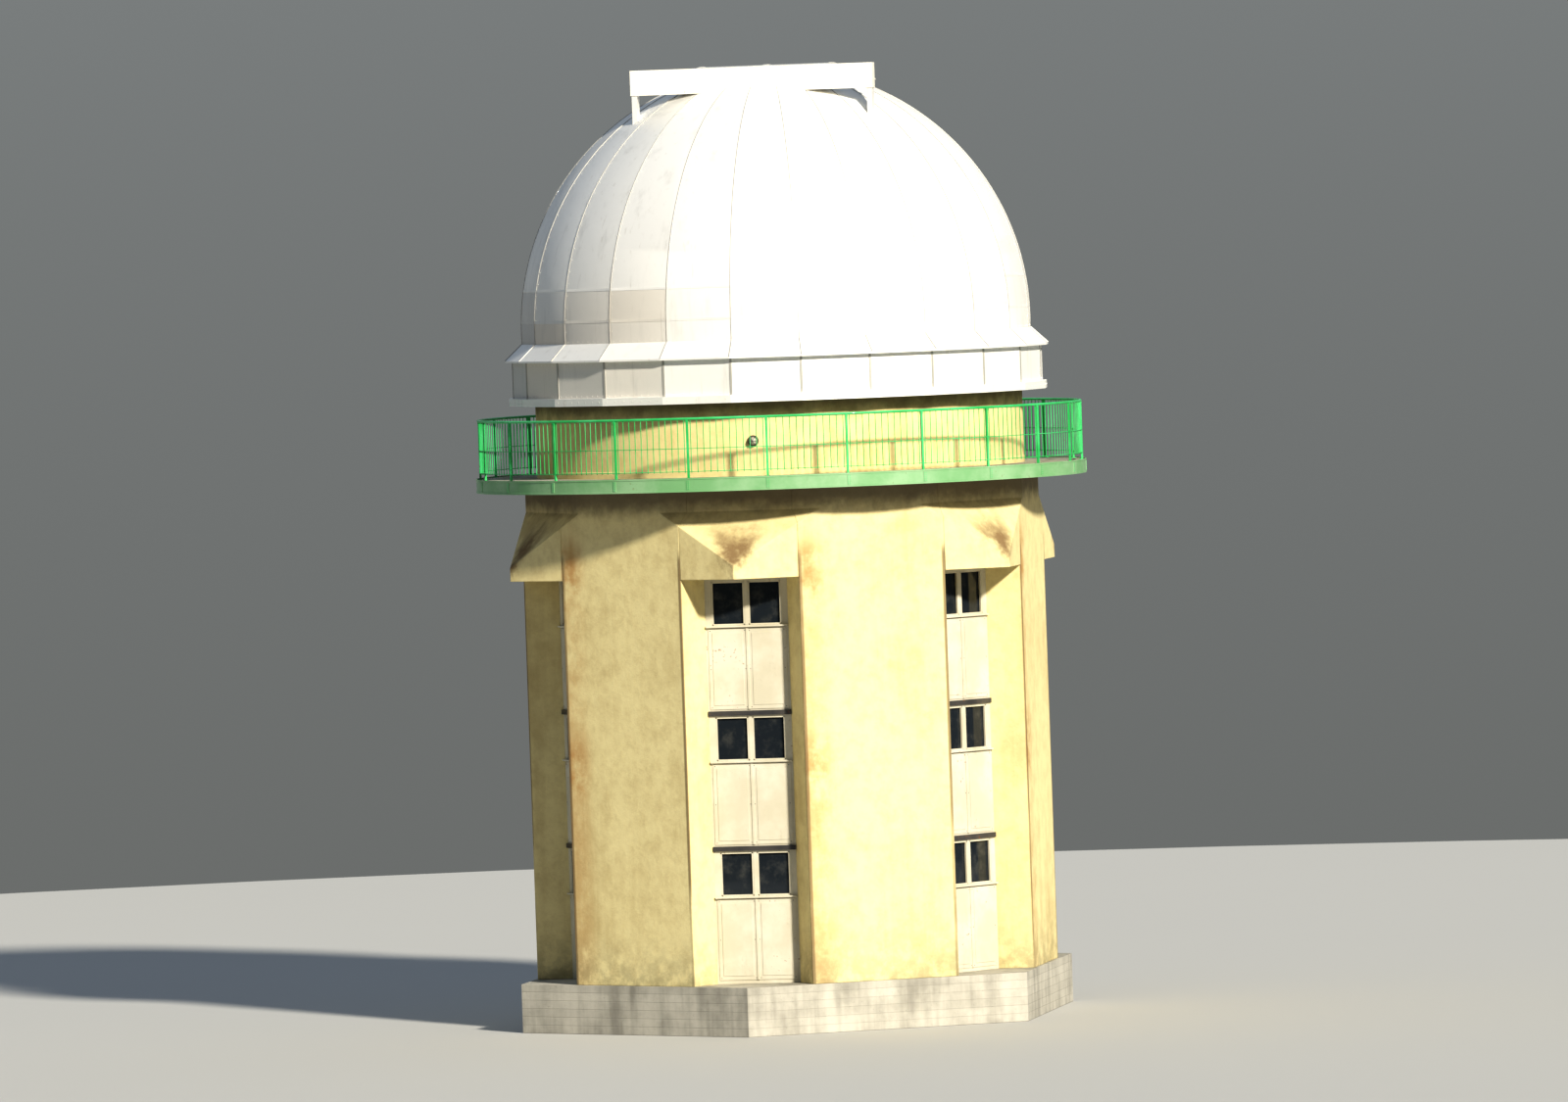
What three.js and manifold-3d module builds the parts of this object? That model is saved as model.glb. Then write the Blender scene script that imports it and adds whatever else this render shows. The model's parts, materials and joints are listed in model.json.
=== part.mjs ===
// Observatory tower with a turning dome, in millimetres, +Z up.
// The origin is at ground level on the tower's axis. A window bay faces -Y and the dome's slit faces +Y.
// Angles go round from -Y towards +X, so a piece built facing -Y is turned to its place about Z.
import * as THREE from "three";
import { mergeVertices } from "three/addons/utils/BufferGeometryUtils.js";
import Module from "manifold-3d";

const wasm = await Module();
wasm.setup();

const SIDES = 6;
const SIDE_ANGLE = (2 * Math.PI) / SIDES;
const HALF_SIDE = SIDE_ANGLE / 2;
const SEAT_GAP = 0.3;
const RUNNING_GAP = 0.5;
const OVERSHOOT = 1;
const REACH = 9000;

// Tower shaft: six flat piers round a ring, with a window bay at each of the hexagon's corners.
const FACE_RADIUS = 4920;
const WALL = 800;
const PIER_WIDTH = 3000;
const PLINTH_TOP = 948;
const PLINTH_PROUD = 60;
const BAY_TOP = 8790;
const SHAFT_TOP = 10500;
const CORNER_RADIUS = FACE_RADIUS / Math.cos(HALF_SIDE);
const CHAMFER_FOOT = 9053;
const CHAMFER_HEAD = 10086;
const CHAMFER_RADIUS = 4780;

// Windows, and the door that takes the lowest part of the rear bay.
const STOREYS = 3;
const STOREY_HEIGHT = (BAY_TOP - PLINTH_TOP) / STOREYS;
const WINDOW_SET_BACK = 700;
const FRAME_DEPTH = 60;
const FRAME_BAR = 70;
const PANE_HEIGHT = 850;
const GLASS = 12;
const REAR_BAY = SIDES / 2;
const THRESHOLD = 150;
const DOOR_HEAD = 2400;
const DOOR_HALF_WIDTH = 770;
const DOOR_THICKNESS = 60;

// Floors, balcony and drum.
const FLOOR = 250;
const BALCONY_TOP = SHAFT_TOP + FLOOR;
const BALCONY_RADIUS = 5960;
const FASCIA = 20;
const FASCIA_TOP = BALCONY_TOP + 20;
const RAIL_RADIUS = 5900;
const RAIL_TOP = 11930;
const RAIL_WIDTH = 50;
const POST_WIDTH = 60;
const POST_BELOW_RAIL = 10;
const MID_RAIL_TOP = 11340;
const FOOT_RAIL_TOP = 10900;
const THIN_RAIL = 40;
const RAILING_PANELS = 4;
const POSTS_PER_PANEL = 6;
const DRUM_RADIUS = 4780;
const DRUM_WALL = 300;
const DRUM_TOP = 12950;
const DRUM_PARTS = 6;
const ROUND_STEP = Math.PI / 24;
const LAMP = { height: 11421, base: 110, baseDepth: 90, glass: 80, proud: 150, sides: 12 };

// Roller track, and the dome that turns on it.
const TRACK_TOP = 13010;
const TRACK_INSET = 20;
const ROLLERS = 12;
const ROLLER_RADIUS = 90;
const ROLLER_LENGTH = 160;
const ROLLER_SIDES = 12;
const ROLLER_TOP = 13175;
const ROLLER_PATH = 4630;
const BEARING = { halfWidth: 60, beyondRoller: 30, sunk: 20, overAxle: 40 };
const GORES = 24;
const GORE_STEP = (2 * Math.PI) / GORES;
const DOME_RADIUS = 5000;
const DOME_CENTRE = 13620;
const DOME_FOOT = 13375;
const SHELL = 80;
const MERIDIAN_STEPS = 12;
const RING_INNER = 4450;
const RING_OUTER = 4990;
const FLARE_RADIUS = 5340;
const FLARE_FOOT = 13026;
const FLARE_EDGE = 34;
const FLARE_SHEET = 15;
const SKIRT_RADIUS = 5200;
const SKIRT_SHEET = 50;
const SKIRT_ROOT = DOME_FOOT - 175;
const LIP_RADIUS = 5290;
const LIP_TOP = 12325;
const SKIRT_FOOT = 12175;

// Slit, its arches and beams, and the two shutters that part sideways.
const SLIT_HALF = 1100;
const ARCH_WIDTH = 130;
const ARCH_OUTER = 4900;
const ARCH_INNER = 4650;
const SLIT_EDGE = SLIT_HALF + ARCH_WIDTH + SEAT_GAP;
const SLIT_REAR = -1570;
const BEAM_HALF = 2390;
const BRACKET = 100;
const BRACKET_INSET = 20;
const REAR_BEAM = { depth: 300, foot: 18150, top: 18640 };
const LEDGE = { depth: 100, top: 18330, height: 30 };
const FOOT_BEAM = { inner: 5010, outer: 5200, foot: 13490, top: 13790 };
const SILL = 140;
const SHUTTER_OUTER = 5070;
const SHUTTER_SKIN = 60;
const SHUTTER_EDGE = 5;
const SHUTTER_WIDTH = 1295;
const SHUTTER_CHEEK = 50;
const SHUTTER_CHEEK_FOOT = 4870;
const SHUTTER_LIP_FOOT = 4965;
const SHUTTER_LIP = 40;
const RUNNER = { clear: 10, inset: 100, height: 90 };
const ARC_STEP = Math.PI / 36;

const paint = (color, roughness, metalness) =>
  new THREE.MeshStandardMaterial({ color, roughness, metalness });
const RENDER = paint(0xe8dcae, 0.9, 0);
const CONCRETE = paint(0xb9b2a0, 0.95, 0);
const DRUM_PAINT = paint(0xe6d48c, 0.85, 0);
const GREEN_PAINT = paint(0x46c67a, 0.6, 0.2);
const WHITE_PAINT = paint(0xeeeeea, 0.5, 0.1);
const GLAZING = paint(0x3b4450, 0.1, 0);
const DOME_SHEET = paint(0xd9dadb, 0.35, 0.8);
const STEEL = paint(0x55585c, 0.5, 0.8);
const DOOR_PAINT = paint(0x8a9092, 0.6, 0.2);

const model = new THREE.Group();

// Adds a named mesh, built facing -Y and turned about Z by angle.
function place(name, geometry, material, angle = 0) {
  const mesh = new THREE.Mesh(geometry, material);
  mesh.name = name;
  mesh.rotation.z = angle;
  model.add(mesh);
}

// Makes a solid of a closed geometry, whichever way round its faces were drawn.
function toSolid(geometry) {
  const bare = geometry.index ? geometry.toNonIndexed() : geometry.clone();
  bare.deleteAttribute("normal");
  bare.deleteAttribute("uv");
  const merged = mergeVertices(bare, 1e-3);
  const vertProperties = new Float32Array(merged.attributes.position.array);
  const triVerts = new Uint32Array(merged.index.array);
  if (signedVolume(vertProperties, triVerts) < 0) {
    for (let i = 0; i < triVerts.length; i += 3) {
      [triVerts[i + 1], triVerts[i + 2]] = [triVerts[i + 2], triVerts[i + 1]];
    }
  }
  return new wasm.Manifold(new wasm.Mesh({ numProp: 3, vertProperties, triVerts }));
}

function signedVolume(points, triangles) {
  const [a, b, c] = [new THREE.Vector3(), new THREE.Vector3(), new THREE.Vector3()];
  let volume = 0;
  for (let i = 0; i < triangles.length; i += 3) {
    a.fromArray(points, triangles[i] * 3);
    b.fromArray(points, triangles[i + 1] * 3);
    c.fromArray(points, triangles[i + 2] * 3);
    volume += a.dot(b.cross(c)) / 6;
  }
  return volume;
}

function toGeometry(solid) {
  const mesh = solid.getMesh();
  const geometry = new THREE.BufferGeometry();
  geometry.setAttribute("position", new THREE.BufferAttribute(new Float32Array(mesh.vertProperties), 3));
  geometry.setIndex(new THREE.BufferAttribute(new Uint32Array(mesh.triVerts), 1));
  geometry.computeVertexNormals();
  return geometry;
}

const join = (solids) => solids.reduce((whole, solid) => whole.add(solid));

function box(x0, x1, y0, y1, z0, z1) {
  const geometry = new THREE.BoxGeometry(x1 - x0, y1 - y0, z1 - z0);
  return toSolid(geometry.translate((x0 + x1) / 2, (y0 + y1) / 2, (z0 + z1) / 2));
}

function extrude(points, depth) {
  const shape = new THREE.Shape(points.map(([x, y]) => new THREE.Vector2(x, y)));
  return new THREE.ExtrudeGeometry(shape, { depth, bevelEnabled: false });
}

// A plan outline in x and y, standing from z0 to z1.
const plate = (plan, z0, z1) => toSolid(extrude(plan, z1 - z0).translate(0, 0, z0));

// An outline of [radius, z] carried sideways through the front of the tower, from x0 to x1.
function sideways(outline, x0, x1) {
  const turned = new THREE.Matrix4().makeBasis(
    new THREE.Vector3(0, -1, 0),
    new THREE.Vector3(0, 0, 1),
    new THREE.Vector3(-1, 0, 0),
  );
  return toSolid(extrude(outline, x1 - x0).applyMatrix4(turned).translate(x1, 0, 0));
}

// A closed outline of [radius, z] carried round the Z axis between two angles.
function revolve(outline, from, to, steps) {
  const whole = to - from > 2 * Math.PI - 1e-9;
  const rings = whole ? steps : steps + 1;
  const count = outline.length;
  const positions = [];
  for (let i = 0; i < rings; i++) {
    const angle = from + ((to - from) * i) / steps;
    for (const [r, z] of outline) positions.push(r * Math.sin(angle), -r * Math.cos(angle), z);
  }
  const index = [];
  for (let i = 0; i < steps; i++) {
    const here = i * count;
    const next = ((i + 1) % rings) * count;
    for (let j = 0; j < count; j++) {
      const k = (j + 1) % count;
      if (outline[j][0] > 0) index.push(here + j, next + j, next + k);
      if (outline[k][0] > 0) index.push(here + j, next + k, here + k);
    }
  }
  if (!whole) {
    const flat = outline.map(([r, z]) => new THREE.Vector2(r, z));
    const last = (rings - 1) * count;
    const turnsLeft = !THREE.ShapeUtils.isClockWise(flat);
    for (const [a, b, c] of THREE.ShapeUtils.triangulateShape(flat, [])) {
      // ShapeUtils gives triangles that turn left, so they follow the outline only if it turns left.
      const [p, q] = turnsLeft ? [b, c] : [c, b];
      index.push(a, p, q, last + a, last + q, last + p);
    }
  }
  const geometry = new THREE.BufferGeometry();
  geometry.setAttribute("position", new THREE.Float32BufferAttribute(positions, 3));
  geometry.setIndex(index);
  return geometry;
}

const ring = (inner, outer, z0, z1) => [[inner, z0], [outer, z0], [outer, z1], [inner, z1]];
const fullRing = (outline, step) =>
  toSolid(revolve(outline, 0, 2 * Math.PI, Math.round((2 * Math.PI) / step)));

// A point on a pier's side, in a bay that faces -Y: [sideways, outwards], at a depth behind the pier's face.
function cheek(depth, gap = SEAT_GAP) {
  const out = FACE_RADIUS - depth;
  const half = PIER_WIDTH / 2 + gap;
  return [
    out * Math.sin(HALF_SIDE) - half * Math.cos(HALF_SIDE),
    out * Math.cos(HALF_SIDE) + half * Math.sin(HALF_SIDE),
  ];
}

// The plan of the space between two piers, out to the hexagon's corner.
function bayPlan() {
  const [outerX, outerY] = cheek(0);
  const [innerX, innerY] = cheek(WALL);
  return [[0, -CORNER_RADIUS], [outerX, -outerY], [innerX, -innerY], [-innerX, -innerY], [-outerX, -outerY]];
}

// What the slope under the balcony takes off the hexagon's corners, facing -Y.
const cornerSlope = () => sideways(
  [
    [CHAMFER_RADIUS, SHAFT_TOP + FLOOR],
    [CHAMFER_RADIUS, CHAMFER_HEAD],
    [CORNER_RADIUS, CHAMFER_FOOT],
    [REACH, CHAMFER_FOOT],
    [REACH, SHAFT_TOP + FLOOR],
  ],
  -REACH / 4,
  REACH / 4,
);

function hexagon(apothem) {
  const corners = Array.from({ length: SIDES }, (_, i) => i * SIDE_ANGLE);
  const radius = apothem / Math.cos(HALF_SIDE);
  return corners.map((angle) => [radius * Math.sin(angle), -radius * Math.cos(angle)]);
}

// The plan of the rooms: inside the piers and, in each bay, the line that joins the piers' inner corners.
function roomPlan(inset) {
  const line = cheek(WALL)[1] - inset;
  const corner = (FACE_RADIUS - WALL - inset) / Math.cos(HALF_SIDE);
  const half = (corner - line) / Math.tan(HALF_SIDE);
  const bays = Array.from({ length: SIDES }, (_, i) => i * SIDE_ANGLE);
  return bays.flatMap((angle) => {
    const [sin, cos] = [Math.sin(angle), Math.cos(angle)];
    return [-half, half].map((x) => [x * cos + line * sin, x * sin - line * cos]);
  });
}

function addShaft() {
  const degrees = THREE.MathUtils.radToDeg(HALF_SIDE);
  const slope = cornerSlope();
  const pier = box(-PIER_WIDTH / 2, PIER_WIDTH / 2, -FACE_RADIUS, WALL - FACE_RADIUS, PLINTH_TOP, SHAFT_TOP)
    .subtract(slope.rotate([0, 0, degrees]))
    .subtract(slope.rotate([0, 0, -degrees]));
  const lintel = plate(bayPlan(), BAY_TOP, SHAFT_TOP).subtract(slope);
  for (let i = 0; i < SIDES; i++) {
    place(`pier_${i + 1}`, toGeometry(pier), RENDER, i * SIDE_ANGLE + HALF_SIDE);
    place(`lintel_${i + 1}`, toGeometry(lintel), RENDER, i * SIDE_ANGLE);
  }
  const doorway = box(-DOOR_HALF_WIDTH, DOOR_HALF_WIDTH, 0, REACH, THRESHOLD, PLINTH_TOP + OVERSHOOT);
  const plinth = plate(hexagon(FACE_RADIUS + PLINTH_PROUD), 0, PLINTH_TOP)
    .subtract(plate(roomPlan(0), -OVERSHOOT, PLINTH_TOP + OVERSHOOT))
    .subtract(doorway);
  place("plinth", toGeometry(plinth), CONCRETE);
}

// One bay's window frame from the given foot up to the lintel: open panes along the head of each storey.
function windowFrame(foot) {
  const [side, front] = cheek(WINDOW_SET_BACK);
  const paneEdge = cheek(WINDOW_SET_BACK + 2 * FRAME_DEPTH)[0] - FRAME_BAR;
  const back = front - FRAME_DEPTH;
  let frame = box(-side, side, -front, -back, foot, BAY_TOP).intersect(plate(bayPlan(), foot, BAY_TOP));
  for (let storey = 0; storey < STOREYS; storey++) {
    const head = PLINTH_TOP + (storey + 1) * STOREY_HEIGHT - FRAME_BAR;
    const sill = head - PANE_HEIGHT;
    for (const [x0, x1] of [[-paneEdge, -FRAME_BAR / 2], [FRAME_BAR / 2, paneEdge]]) {
      frame = frame.subtract(box(x0, x1, -front - OVERSHOOT, OVERSHOOT - back, sill, head));
    }
  }
  return frame;
}

function addWindows() {
  const bay = plate(bayPlan(), 0, BAY_TOP);
  const frameBack = cheek(WINDOW_SET_BACK)[1] - FRAME_DEPTH;
  const glassFront = frameBack - SEAT_GAP;
  for (let i = 0; i < SIDES; i++) {
    const foot = i === REAR_BAY ? DOOR_HEAD : PLINTH_TOP;
    const sheet = box(-PIER_WIDTH / 2, PIER_WIDTH / 2, -glassFront, GLASS - glassFront, foot, BAY_TOP);
    place(`window_frame_${i + 1}`, toGeometry(windowFrame(foot)), WHITE_PAINT, i * SIDE_ANGLE);
    place(`window_glass_${i + 1}`, toGeometry(sheet.intersect(bay)), GLAZING, i * SIDE_ANGLE);
  }
  const leafEdge = DOOR_HALF_WIDTH - SEAT_GAP;
  const leaf = box(-leafEdge, leafEdge, -frameBack - DOOR_THICKNESS, -frameBack, THRESHOLD, DOOR_HEAD)
    .intersect(bay);
  place("entrance_door", toGeometry(leaf), DOOR_PAINT, REAR_BAY * SIDE_ANGLE);
}

function addFloors() {
  const plan = roomPlan(SEAT_GAP);
  place("ground_floor", toGeometry(plate(plan, 0, THRESHOLD)), CONCRETE);
  for (let storey = 1; storey < STOREYS; storey++) {
    const top = PLINTH_TOP + storey * STOREY_HEIGHT;
    place(`storey_floor_${storey}`, toGeometry(plate(plan, top - FLOOR, top)), CONCRETE);
  }
  const drumInner = DRUM_RADIUS - DRUM_WALL;
  const disc = fullRing(
    [[0, SHAFT_TOP], [drumInner, SHAFT_TOP], [drumInner, BALCONY_TOP], [0, BALCONY_TOP]], ROUND_STEP,
  );
  place("observing_floor", toGeometry(disc), CONCRETE);
}

function addBalcony() {
  const inner = DRUM_RADIUS - DRUM_WALL + SEAT_GAP;
  const slab = fullRing(ring(inner, BALCONY_RADIUS, SHAFT_TOP, BALCONY_TOP), ROUND_STEP);
  place("balcony_slab", toGeometry(slab), CONCRETE);
  const fasciaInner = BALCONY_RADIUS + SEAT_GAP;
  const fascia = fullRing(ring(fasciaInner, fasciaInner + FASCIA, SHAFT_TOP, FASCIA_TOP), ROUND_STEP);
  place("balcony_fascia", toGeometry(fascia), GREEN_PAINT);
  addRailing();
}

function addRailing() {
  const span = (2 * Math.PI) / RAILING_PANELS;
  const trim = SEAT_GAP / RAIL_RADIUS;
  const rail = (width, top, height) => toSolid(revolve(
    ring(RAIL_RADIUS - width / 2, RAIL_RADIUS + width / 2, top - height, top),
    trim,
    span - trim,
    Math.round(span / ROUND_STEP),
  ));
  const half = POST_WIDTH / 2;
  const postTop = RAIL_TOP - POST_BELOW_RAIL;
  const post = box(-half, half, -RAIL_RADIUS - half, half - RAIL_RADIUS, BALCONY_TOP, postTop);
  const pieces = [
    rail(RAIL_WIDTH, RAIL_TOP, RAIL_WIDTH),
    rail(THIN_RAIL, MID_RAIL_TOP, THIN_RAIL),
    rail(THIN_RAIL, FOOT_RAIL_TOP, THIN_RAIL),
  ];
  for (let i = 0; i < POSTS_PER_PANEL; i++) {
    pieces.push(post.rotate([0, 0, ((i + 0.5) * THREE.MathUtils.radToDeg(span)) / POSTS_PER_PANEL]));
  }
  const panel = join(pieces);
  for (let i = 0; i < RAILING_PANELS; i++) {
    place(`railing_${i + 1}`, toGeometry(panel), GREEN_PAINT, i * span);
  }
}

function addDrum() {
  const span = (2 * Math.PI) / DRUM_PARTS;
  const trim = SEAT_GAP / 2 / DRUM_RADIUS;
  const outline = ring(DRUM_RADIUS - DRUM_WALL, DRUM_RADIUS, BALCONY_TOP, DRUM_TOP);
  for (let i = 0; i < DRUM_PARTS; i++) {
    const part = toSolid(revolve(outline, trim, span - trim, Math.round(span / ROUND_STEP)));
    place(`drum_wall_${i + 1}`, toGeometry(part), DRUM_PAINT, i * span);
  }
  addLamp();
}

// A bulkhead lamp on one of the drum's flats, just right of the front.
function addLamp() {
  const flat = DRUM_RADIUS * Math.cos(ROUND_STEP / 2) + SEAT_GAP;
  const { base, baseDepth, glass, proud } = LAMP;
  const outline = [[0, 0], [base, 0], [base, baseDepth], [glass, baseDepth], [glass, proud], [0, proud]];
  const lamp = new THREE.LatheGeometry(outline.map(([r, y]) => new THREE.Vector2(r, y)), LAMP.sides)
    .rotateX(Math.PI).translate(0, -flat, LAMP.height);
  place("drum_lamp", toGeometry(toSolid(lamp)), STEEL, ROUND_STEP / 2);
}

function addRollerTrack() {
  const inner = DRUM_RADIUS - DRUM_WALL + TRACK_INSET;
  const track = fullRing(ring(inner, DRUM_RADIUS - TRACK_INSET, DRUM_TOP, TRACK_TOP), GORE_STEP);
  const axle = ROLLER_TOP - ROLLER_RADIUS;
  const roller = toSolid(
    new THREE.CylinderGeometry(ROLLER_RADIUS, ROLLER_RADIUS, ROLLER_LENGTH, ROLLER_SIDES)
      .translate(0, -ROLLER_PATH, axle),
  );
  const { halfWidth, beyondRoller, sunk, overAxle } = BEARING;
  const reach = ROLLER_LENGTH / 2 + beyondRoller;
  const bearing = box(
    -halfWidth, halfWidth, -ROLLER_PATH - reach, reach - ROLLER_PATH, TRACK_TOP - sunk, axle + overAxle,
  );
  const pieces = [track];
  for (let i = 0; i < ROLLERS; i++) {
    const turn = [0, 0, ((i + 0.5) * 360) / ROLLERS];
    pieces.push(bearing.rotate(turn), roller.rotate(turn));
  }
  place("roller_track", toGeometry(join(pieces)), STEEL);
}

// The meridian of the dome, from its foot up to the axis, at a distance outside the dome's own surface.
function meridian(offset) {
  const radius = DOME_RADIUS + offset;
  const start = Math.asin((DOME_FOOT - DOME_CENTRE) / radius);
  return Array.from({ length: MERIDIAN_STEPS + 1 }, (_, i) => {
    const angle = start + ((Math.PI / 2 - start) * i) / MERIDIAN_STEPS;
    const r = i === MERIDIAN_STEPS ? 0 : radius * Math.cos(angle);
    return [r, DOME_CENTRE + radius * Math.sin(angle)];
  });
}

// What the slit takes out of the dome, from a little in front of its rear end.
const slitSpace = (gap) => box(-SLIT_EDGE, SLIT_EDGE, SLIT_REAR + gap, REACH, 0, 3 * REACH);

function addShell() {
  const outline = [...meridian(0), ...meridian(-SHELL).reverse()];
  const whole = fullRing(outline, GORE_STEP).subtract(slitSpace(0));
  const rightSide = box(SEAT_GAP / 2, REACH, -REACH, REACH, 0, 3 * REACH);
  const leftSide = box(-REACH, -SEAT_GAP / 2, -REACH, REACH, 0, 3 * REACH);
  place("dome_shell_right", toGeometry(whole.intersect(rightSide)), DOME_SHEET);
  place("dome_shell_left", toGeometry(whole.intersect(leftSide)), DOME_SHEET);
}

function addDomeRing() {
  place("dome_base_ring", toGeometry(fullRing(
    ring(RING_INNER, RING_OUTER, ROLLER_TOP + RUNNING_GAP, DOME_FOOT), GORE_STEP,
  )), STEEL);
  const inner = SKIRT_RADIUS - SKIRT_SHEET;
  const root = RING_OUTER + SEAT_GAP;
  const skirt = [
    [root, DOME_FOOT],
    [root + FLARE_SHEET, DOME_FOOT],
    [FLARE_RADIUS, FLARE_FOOT + FLARE_EDGE],
    [FLARE_RADIUS, FLARE_FOOT],
    [SKIRT_RADIUS, FLARE_FOOT],
    [SKIRT_RADIUS, LIP_TOP],
    [LIP_RADIUS, LIP_TOP],
    [LIP_RADIUS, SKIRT_FOOT],
    [inner, SKIRT_FOOT],
    [inner, FLARE_FOOT],
    [root, SKIRT_ROOT],
  ];
  place("dome_skirt", toGeometry(fullRing(skirt, GORE_STEP)), DOME_SHEET);
}

// An arc about the dome's centre as [outwards to +Y, z], from the height z0 up and over to the rear plane.
function overArc(radius, z0, rear) {
  const start = Math.asin((z0 - DOME_CENTRE) / radius);
  const end = Math.acos(rear / radius);
  const steps = Math.ceil((end - start) / ARC_STEP);
  return Array.from({ length: steps + 1 }, (_, i) => {
    const angle = start + ((end - start) * i) / steps;
    return [radius * Math.cos(angle), DOME_CENTRE + radius * Math.sin(angle)];
  });
}

function addArches() {
  const outline = [
    ...overArc(ARCH_OUTER, DOME_FOOT, SLIT_REAR),
    ...overArc(ARCH_INNER, DOME_FOOT, SLIT_REAR).reverse(),
  ];
  const towardsFront = outline.map(([y, z]) => [-y, z]);
  const edge = SLIT_HALF + ARCH_WIDTH;
  place("slit_arch_right", toGeometry(sideways(towardsFront, SLIT_HALF, edge)), DOME_SHEET);
  place("slit_arch_left", toGeometry(sideways(towardsFront, -edge, -SLIT_HALF)), DOME_SHEET);
}

// The beams that the shutters run along. Their brackets stand on the dome's shell.
function addBeams() {
  const domeBody = fullRing([[0, DOME_FOOT], ...meridian(SEAT_GAP)], GORE_STEP).subtract(slitSpace(SEAT_GAP));
  const bracketFar = BEAM_HALF - BRACKET_INSET;
  const bracketNear = bracketFar - BRACKET;
  const front = SLIT_REAR - SEAT_GAP;
  const back = front - REAR_BEAM.depth;
  const ledge = front + LEDGE.depth;
  const section = [
    [-back, REAR_BEAM.foot],
    [-front, REAR_BEAM.foot],
    [-front, LEDGE.top - LEDGE.height],
    [-ledge, LEDGE.top - LEDGE.height],
    [-ledge, LEDGE.top],
    [-front, LEDGE.top],
    [-front, REAR_BEAM.top],
    [-back, REAR_BEAM.top],
  ];
  const seat = DOME_CENTRE + Math.sqrt(DOME_RADIUS ** 2 - BEAM_HALF ** 2 - back ** 2) - BRACKET;
  const rearBracket = (x0, x1) =>
    box(x0, x1, back + BRACKET_INSET, front - BRACKET_INSET, seat, REAR_BEAM.foot + BRACKET);
  const rear = join([
    sideways(section, -BEAM_HALF, BEAM_HALF),
    rearBracket(-bracketFar, -bracketNear),
    rearBracket(bracketNear, bracketFar),
  ]);
  place("rear_shutter_beam", toGeometry(rear.subtract(domeBody)), DOME_SHEET);
  const { inner, outer, foot, top } = FOOT_BEAM;
  const deep = Math.sqrt(DOME_RADIUS ** 2 - BEAM_HALF ** 2) - 2 * BRACKET;
  const archEdge = SLIT_EDGE + SEAT_GAP;
  const footBracket = (x0, x1) =>
    box(x0, x1, deep, inner + BRACKET_INSET, foot + BRACKET_INSET, top - BRACKET_INSET);
  // The sill stands on the base ring and closes the slit under the beam.
  const sillEnd = SLIT_HALF - SEAT_GAP;
  const sill = box(
    -sillEnd, sillEnd, inner - SILL, inner + BRACKET_INSET, DOME_FOOT + SEAT_GAP, foot + BRACKET_INSET,
  );
  const atFoot = join([
    box(-BEAM_HALF, BEAM_HALF, inner, outer, foot, top),
    footBracket(-bracketFar, -bracketNear),
    footBracket(bracketNear, bracketFar),
    footBracket(-archEdge - BRACKET, -archEdge),
    footBracket(archEdge, archEdge + BRACKET),
    sill,
  ]);
  place("foot_shutter_beam", toGeometry(atFoot.subtract(domeBody)), DOME_SHEET);
}

// An outline of [radius, x] carried over the dome about the X axis through its centre.
function overDome(outline, rear) {
  const radius = Math.max(...outline.map(([r]) => r));
  const end = Math.acos(rear / radius);
  const turned = new THREE.Matrix4().makeBasis(
    new THREE.Vector3(0, 1, 0),
    new THREE.Vector3(0, 0, 1),
    new THREE.Vector3(1, 0, 0),
  );
  const geometry = revolve(outline, Math.PI / 2, Math.PI / 2 + end, Math.ceil(end / ARC_STEP));
  return toSolid(geometry.applyMatrix4(turned).translate(0, 0, DOME_CENTRE));
}

// The right-hand shutter: a curved skin with a cheek down its outer edge, a lip at the middle and a runner.
function shutter() {
  const skinFoot = SHUTTER_OUTER - SHUTTER_SKIN;
  const [near, far] = [SHUTTER_EDGE, SHUTTER_EDGE + SHUTTER_WIDTH];
  const section = [
    [SHUTTER_LIP_FOOT, near],
    [SHUTTER_LIP_FOOT, near + SHUTTER_LIP],
    [skinFoot, near + SHUTTER_LIP],
    [skinFoot, far - SHUTTER_CHEEK],
    [SHUTTER_CHEEK_FOOT, far - SHUTTER_CHEEK],
    [SHUTTER_CHEEK_FOOT, far],
    [SHUTTER_OUTER, far],
    [SHUTTER_OUTER, near],
  ];
  const skinEnd = SLIT_REAR + RUNNER.clear;
  const ledgeEdge = SLIT_REAR + LEDGE.depth;
  const overLedge = box(0, REACH, -REACH, ledgeEdge + RUNNER.clear, 0, LEDGE.top + 2 * RUNNER.clear);
  const aboveBeam = box(0, REACH, -REACH, REACH, FOOT_BEAM.top + RUNNING_GAP, 3 * REACH);
  const runner = box(
    near + RUNNER.inset,
    far - RUNNER.inset,
    skinEnd + RUNNER.clear,
    ledgeEdge - RUNNER.clear,
    LEDGE.top + RUNNING_GAP,
    LEDGE.top + RUNNER.height,
  );
  return overDome(section, skinEnd).subtract(overLedge).intersect(aboveBeam).add(runner);
}

function addShutters() {
  const right = shutter();
  place("shutter_right", toGeometry(right), DOME_SHEET);
  place("shutter_left", toGeometry(right.mirror([1, 0, 0])), DOME_SHEET);
}

addShaft();
addWindows();
addFloors();
addBalcony();
addDrum();
addRollerTrack();
addDomeRing();
addShell();
addArches();
addBeams();
addShutters();

export default model;
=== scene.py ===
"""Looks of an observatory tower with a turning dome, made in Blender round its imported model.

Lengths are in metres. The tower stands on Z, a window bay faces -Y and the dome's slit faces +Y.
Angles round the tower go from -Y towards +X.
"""

import json
import logging
import math
from dataclasses import dataclass, field
from enum import Enum
from typing import Callable, Iterable, Sequence, Union

import bmesh
import bpy
from mathutils import Euler, Matrix, Vector

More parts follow.
